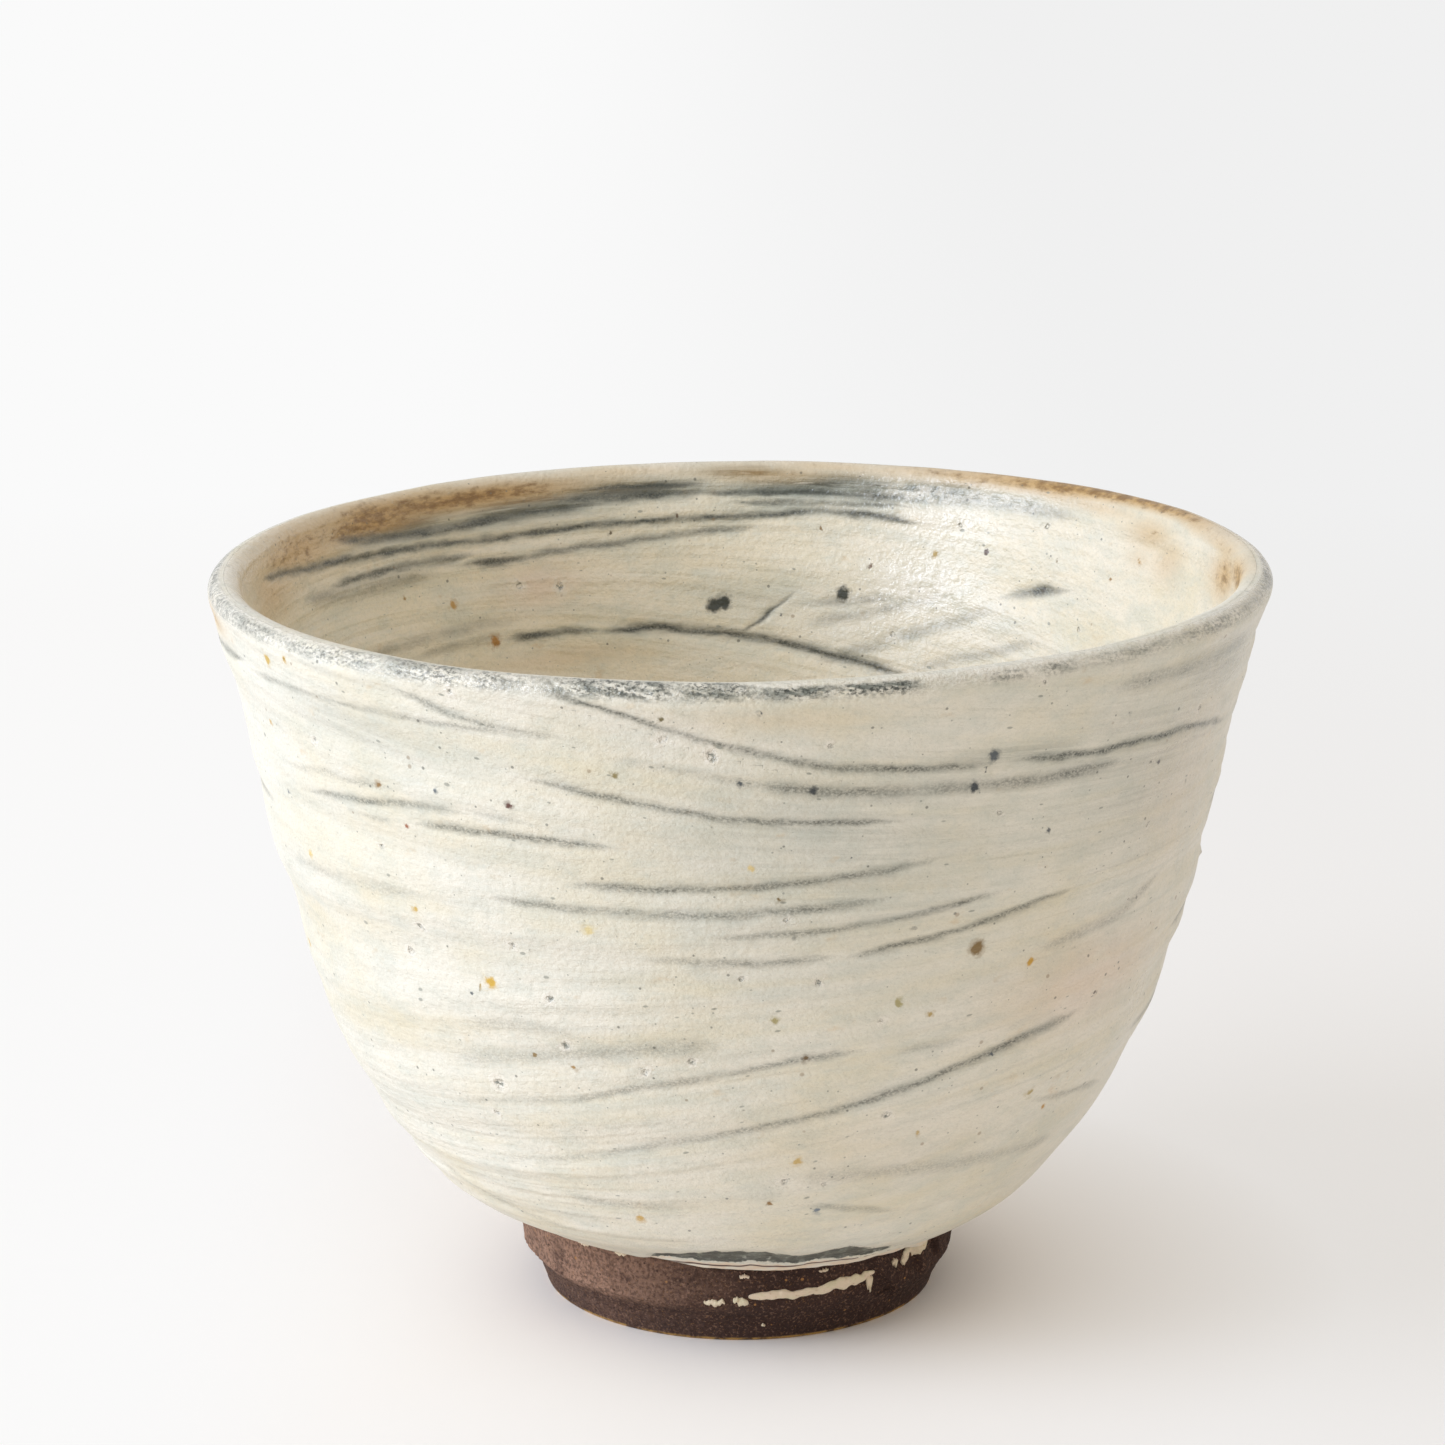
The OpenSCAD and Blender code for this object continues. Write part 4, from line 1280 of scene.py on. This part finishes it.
    # Foot edge: glaze straight on clay, then bare toasted slip below the glaze
    murk = painted(tree, (*colours.dark, 1), [
        (patches(tree, place, (0.9, 2.2, 0.9), 0.45, 0.65), colours.streak),
        (patches(tree, place, (0.25, 0.6, 0.25), 0.48, 0.6, 0.5), colours.dark),
        (patches(tree, place, (0.6, 1.6, 0.6), 0.58, 0.7, 0.6), colours.cool),
    ])
    scar = add(tree, "MapRange", {0: glazed, 1: -1.25, 2: -1.05}, **SMOOTH)
    scar = add(tree, "MapRange", {0: glazed, 1: -0.7, 2: -0.9, 4: scar}, **SMOOTH)
    pale = patches(tree, place, (1.2, 1.2, 0.5), 0.35, 0.7)
    toast = painted(tree, (*colours.bare, 1), [(pale, colours.slip)])
    bare = add(tree, "MapRange", {0: glazed, 1: 0.1, 2: -0.05})
    layers += [
        (broken(tree, place, (1.0, 2.6, 1.0), strip, 0.95, 0.14, 4.0), murk),
        (bare, toast),
        (patches(tree, place, (2.5, 2.5, 1.0), 0.35, 0.55, scar), colours.clay),
    ]
    normal = bumped(tree, [
        (hairs, 0.02), (bands, 0.14), (groove, -0.04), (rim, 0.06), (hole, -0.14), (band, 0.03),
        (patches(tree, place, (0.9, 0.9, 0.6), 0.2, 0.8), 0.05),
        (patches(tree, place, (0.35, 0.35, 0.3), 0.2, 0.8), 0.03),
        (patches(tree, place, (0.4, 0.4, 0.22), 0.3, 0.7, band), 0.05),
    ])
    # The glaze shines more where the slip under it is thin
    thin = add(tree, "Math", {0: wash, 1: sheen_share}, operation="MAXIMUM")
    thin = add(tree, "Math", {0: thin, 1: rim}, operation="MAXIMUM")
    satin = add(tree, "MapRange", {0: thin, 1: 0.0, 2: 0.5, 3: 0.4, 4: 0.16})
    rough = add(tree, "MapRange", {0: bare, 3: satin, 4: 0.85})
    shader = add(tree, "BsdfPrincipled", {
        "Base Color": painted(tree, (*colours.slip, 1), layers), "Roughness": rough, "IOR": 1.5,
        "Normal": normal})
    add(tree, "OutputMaterial", {0: shader})
    return material


def fired_clay(name, colours):
    """Dark unglazed stoneware with sand and iron grains, matt, cut by the turning tool.

    The flame toasted one side of it, above the ledge, to a lighter brown.
    """
    material, tree, place = new_material(name)
    side = add(tree, "SeparateXYZ", {0: place}, 0)
    height = side.node.outputs[2]
    toasted = add(tree, "MapRange", {0: side, 1: 3.0, 2: -14.0}, **SMOOTH)
    share = add(tree, "MapRange", {0: toasted, 3: 0.35, 4: 1.0})
    upper = add(tree, "MapRange", {0: height, 1: 2.2, 2: 2.7, 3: 0.25, 4: 1.0}, **SMOOTH)
    upper = add(tree, "Math", {0: upper, 1: toasted}, operation="MULTIPLY")
    below = add(tree, "MapRange", {0: height, 1: 2.5, 2: 2.2, 4: 0.45}, **SMOOTH)
    # The edge that the foot rests on is worn and toasted
    edge = add(tree, "MapRange", {0: height, 1: 0.3, 2: 0.1}, **SMOOTH)
    fine = patches(tree, place, (0.28, 0.28, 0.28), 0.2, 0.8)
    layers = [
        (patches(tree, place, (3.5, 3.5, 2.0), 0.3, 0.72, share), colours.clay),
        (below, colours.clay_dark),
        (patches(tree, place, (2.5, 2.5, 1.2), 0.15, 0.55, upper), colours.clay_warm),
        (patches(tree, place, (0.26, 0.26, 0.26), 0.42, 0.62, 0.6), colours.clay_dark),
        (patches(tree, place, (0.2, 0.2, 0.2), 0.54, 0.68, 0.42), colours.clay_warm),
        (patches(tree, place, (0.16, 0.16, 0.16), 0.6, 0.7, 0.3), colours.grit),
        (grains(tree, place, 1.0, 0.26, 0.16, 0.75), colours.grit),
        (grains(tree, place, 0.5, 0.4, 0.11, 0.85), colours.clay_dark),
        (patches(tree, place, (1.2, 1.2, 1.0), 0.35, 0.6, edge), colours.toast),
    ]
    normal = bumped(tree, [
        (fine, 0.12), (patches(tree, place, (0.9, 0.9, 0.7), 0.2, 0.8), 0.12),
        (patches(tree, place, (6, 6, 0.25), 0.2, 0.8), 0.05),
    ])
    shader = add(tree, "BsdfPrincipled", {
        "Base Color": painted(tree, (*colours.clay_dark, 1), layers), "Roughness": 0.88, "IOR": 1.3,
        "Normal": normal})
    add(tree, "OutputMaterial", {0: shader})
    return material


def bare_slip(name, colours):
    """White slip fired without glaze on the foot, toasted to a peach colour, dry and matt."""
    material, tree, place = new_material(name)
    layers = [
        (patches(tree, place, (1.2, 1.2, 0.6), 0.35, 0.7), colours.warm),
        (patches(tree, place, (0.25, 0.25, 0.25), 0.58, 0.78, 0.6), colours.grit),
    ]
    normal = bumped(tree, [(patches(tree, place, (0.3, 0.3, 0.3), 0.2, 0.8), 0.06)])
    shader = add(tree, "BsdfPrincipled", {
        "Base Color": painted(tree, (*colours.bare, 1), layers), "Roughness": 0.92, "IOR": 1.45,
        "Normal": normal})
    add(tree, "OutputMaterial", {0: shader})
    return material


class CUP_OT_clay_bowl(Operator):
    """Add the clay of the bowl, seen under the foot"""
    bl_idname = "cup.clay_bowl"
    bl_label = "Clay bowl"

    def execute(self, context):
        material = fired_clay("Iron stoneware, turned", context.scene.cup_colours)
        make_piece("bowl_clay", [clay_bowl(Spec())], material, ["thrown_bowl"])
        return {"FINISHED"}


class CUP_OT_foot_ring(Operator):
    """Add the turned foot ring"""
    bl_idname = "cup.foot_ring"
    bl_label = "Foot ring"

    def execute(self, context):
        material = fired_clay("Iron stoneware, foot", context.scene.cup_colours)
        make_piece("turned_foot", [(foot_ring(Spec()), None)], material, ["foot_ring"])
        return {"FINISHED"}


class CUP_OT_outer_coat(Operator):
    """Add the brushed slip and glaze on the outside"""
    bl_idname = "cup.outer_coat"
    bl_label = "Outer slip and glaze"

    def execute(self, context):
        grids, normals, fields = outer_coat(Spec())
        material = glazed_slip("Brushed slip under satin glaze, outside", context.scene.cup_colours)
        make_piece("outer_slip_and_glaze", grids, material, ["outer_slip", "outer_glaze"],
                   normals, fields)
        return {"FINISHED"}


class CUP_OT_inner_coat(Operator):
    """Add the brushed slip and glaze on the inside"""
    bl_idname = "cup.inner_coat"
    bl_label = "Inner slip and glaze"

    def execute(self, context):
        grids, normals, fields = inner_coat(Spec())
        material = glazed_slip("Brushed slip under satin glaze, inside", context.scene.cup_colours)
        make_piece("inner_slip_and_glaze", grids, material, ["inner_slip", "inner_glaze"],
                   normals, fields)
        return {"FINISHED"}


class CUP_OT_foot_slip(Operator):
    """Add the drops of bare slip on the foot"""
    bl_idname = "cup.foot_slip"
    bl_label = "Slip on the foot"

    def execute(self, context):
        material = bare_slip("Bare toasted slip", context.scene.cup_colours)
        make_piece("foot_slip_drops", foot_streaks(Spec()), material, ["foot_slip_streaks"])
        return {"FINISHED"}


# The photo's camera: place and tilt in metres and radians, and focal length in pixels
PHOTO_PIXELS = 1445
FOCAL_PIXELS = 4800
CAMERA_PLACE = (-0.001136, -0.31237, 0.12225)
CAMERA_TILT = 0.26
SENSOR_MM = 36.0
# One soft window at the left, low, and the light of a pale room
WINDOW_WATTS, WINDOW_SIZE, WINDOW_DISTANCE = 3.8, 0.38, 0.65
WINDOW_AZIMUTH, WINDOW_HEIGHT = math.radians(-71), math.radians(26)
WINDOW_LIGHT = "#e0ecff"
ROOM_LIGHT, ROOM_STRENGTH = "#fff8ee", 0.65
PALE, PAPER = "#f6f6f6", "#fbf5f0"
# The glow of the paper, brighter on the window's side
GLOW_LEFT, GLOW_RIGHT = "#fafafa", "#f0f0f0"
FLOOR_REACH = 4.0
# Distances in mm from the cup over which the paper turns to a glow: near it up to a share,
# then wholly far away, and towards the window up to a share
NEAR_GLOW, FAR_GLOW, WINDOW_GLOW = (13.0, 42.0, 0.6), (60.0, 260.0), (-8.0, -42.0, 0.9)
# Distances in mm to the right over which the glow's tone changes
TONE_SPAN = (-50.0, 60.0)


def seen_pale(tree, share):
    """Share of a pale glow that camera, glossy and transmission rays see."""
    rays = add(tree, "LightPath", {}).node.outputs
    seen = add(tree, "Math", {0: rays["Is Camera Ray"], 1: rays["Is Glossy Ray"]}, operation="MAXIMUM")
    seen = add(tree, "Math", {0: seen, 1: rays["Is Transmission Ray"]}, operation="MAXIMUM")
    return add(tree, "Math", {0: seen, 1: share}, operation="MULTIPLY")


class CUP_OT_stage(Operator):
    """Add the floor, the soft window light and the camera"""
    bl_idname = "cup.stage"
    bl_label = "Stage"

    def execute(self, context):
        scene = context.scene
        scene.view_settings.view_transform = "Standard"
        scene.world = bpy.data.worlds.new("Pale room")
        scene.world.use_nodes = True
        tree = scene.world.node_tree
        tree.nodes.clear()
        room = add(tree, "Background", {0: (*linear(ROOM_LIGHT), 1), 1: ROOM_STRENGTH})
        pale = add(tree, "Background", {0: (*linear(PALE), 1), 1: 1.0})
        mixed = add(tree, "MixShader", {0: seen_pale(tree, 1.0), 1: room, 2: pale})
        add(tree, "OutputWorld", {0: mixed})

        # The paper fades into a pale glow away from the cup, past its shadow
        material, tree, place = new_material("White paper")
        away = add(tree, "VectorMath", {0: place}, 1, operation="LENGTH")
        near = add(tree, "MapRange", {0: away, 1: NEAR_GLOW[0], 2: NEAR_GLOW[1], 4: NEAR_GLOW[2]})
        far = add(tree, "MapRange", {0: away, 1: FAR_GLOW[0], 2: FAR_GLOW[1], 3: near, 4: 1.0})
        side = add(tree, "SeparateXYZ", {0: place}, 0)
        lit = add(tree, "MapRange", {0: side, 1: WINDOW_GLOW[0], 2: WINDOW_GLOW[1], 4: WINDOW_GLOW[2]},
                  **SMOOTH)
        glow = add(tree, "Math", {0: far, 1: lit}, operation="MAXIMUM")
        right = add(tree, "MapRange", {0: side, 1: TONE_SPAN[0], 2: TONE_SPAN[1]}, **SMOOTH)
        tone = painted(tree, (*linear(GLOW_LEFT), 1), [(right, linear(GLOW_RIGHT))])
        paper = add(tree, "BsdfPrincipled", {"Base Color": (*linear(PAPER), 1), "Roughness": 0.9})
        pale = add(tree, "Emission", {0: tone, 1: 1.0})
        mixed = add(tree, "MixShader", {0: seen_pale(tree, glow), 1: paper, 2: pale})
        add(tree, "OutputMaterial", {0: mixed})
        mesh = bpy.data.meshes.new("floor")
        corners = [(x * FLOOR_REACH, y * FLOOR_REACH, 0)
                   for x, y in ((-1, -1), (1, -1), (1, 1), (-1, 1))]
        mesh.from_pydata(corners, [], [(0, 1, 2, 3)])
        mesh.materials.append(material)
        floor = bpy.data.objects.new("floor", mesh)
        scene.collection.objects.link(floor)

        lamp = bpy.data.lights.new("window", "AREA")
        lamp.energy, lamp.size, lamp.color = WINDOW_WATTS, WINDOW_SIZE, linear(WINDOW_LIGHT)
        window = bpy.data.objects.new("window", lamp)
        level = math.cos(WINDOW_HEIGHT)
        towards = Vector((math.sin(WINDOW_AZIMUTH) * level, -math.cos(WINDOW_AZIMUTH) * level,
                          math.sin(WINDOW_HEIGHT)))
        window.location = towards * WINDOW_DISTANCE + Vector((0, 0, CAD_BOX[1].z / 2))
        window.rotation_euler = towards.to_track_quat("Z", "Y").to_euler()
        scene.collection.objects.link(window)

        camera = bpy.data.cameras.new("camera")
        camera.sensor_width = SENSOR_MM
        camera.lens = FOCAL_PIXELS / PHOTO_PIXELS * SENSOR_MM
        scene.camera = bpy.data.objects.new("camera", camera)
        scene.camera.location = CAMERA_PLACE
        scene.camera.rotation_euler = (math.pi / 2 - CAMERA_TILT, 0, 0)
        scene.collection.objects.link(scene.camera)
        return {"FINISHED"}


STEPS = (CUP_OT_clay_bowl, CUP_OT_foot_ring, CUP_OT_outer_coat, CUP_OT_inner_coat, CUP_OT_foot_slip,
         CUP_OT_stage)


class CUP_PT_panel(Panel):
    """The cup's sizes, colours and pieces, in the 3D view's sidebar"""
    bl_label = "Guinomi"
    bl_space_type = "VIEW_3D"
    bl_region_type = "UI"
    bl_category = "Cup"

    def draw(self, context):
        for group in (context.scene.cup_sizes, context.scene.cup_colours):
            for name in type(group).__annotations__:
                self.layout.prop(group, name)
        for step in STEPS:
            self.layout.operator(step.bl_idname)


CLASSES = (CupSizes, CupColours) + STEPS + (CUP_PT_panel,)


def register():
    for item in CLASSES:
        bpy.utils.register_class(item)
    bpy.types.Scene.cup_sizes = PointerProperty(type=CupSizes)
    bpy.types.Scene.cup_colours = PointerProperty(type=CupColours)


def unregister():
    del bpy.types.Scene.cup_sizes
    del bpy.types.Scene.cup_colours
    for item in reversed(CLASSES):
        bpy.utils.unregister_class(item)


def main():
    register()
    bpy.ops.cup.clay_bowl()
    bpy.ops.cup.foot_ring()
    bpy.ops.cup.outer_coat()
    bpy.ops.cup.inner_coat()
    bpy.ops.cup.foot_slip()
    bpy.ops.cup.stage()


if __name__ == "__main__":
    main()
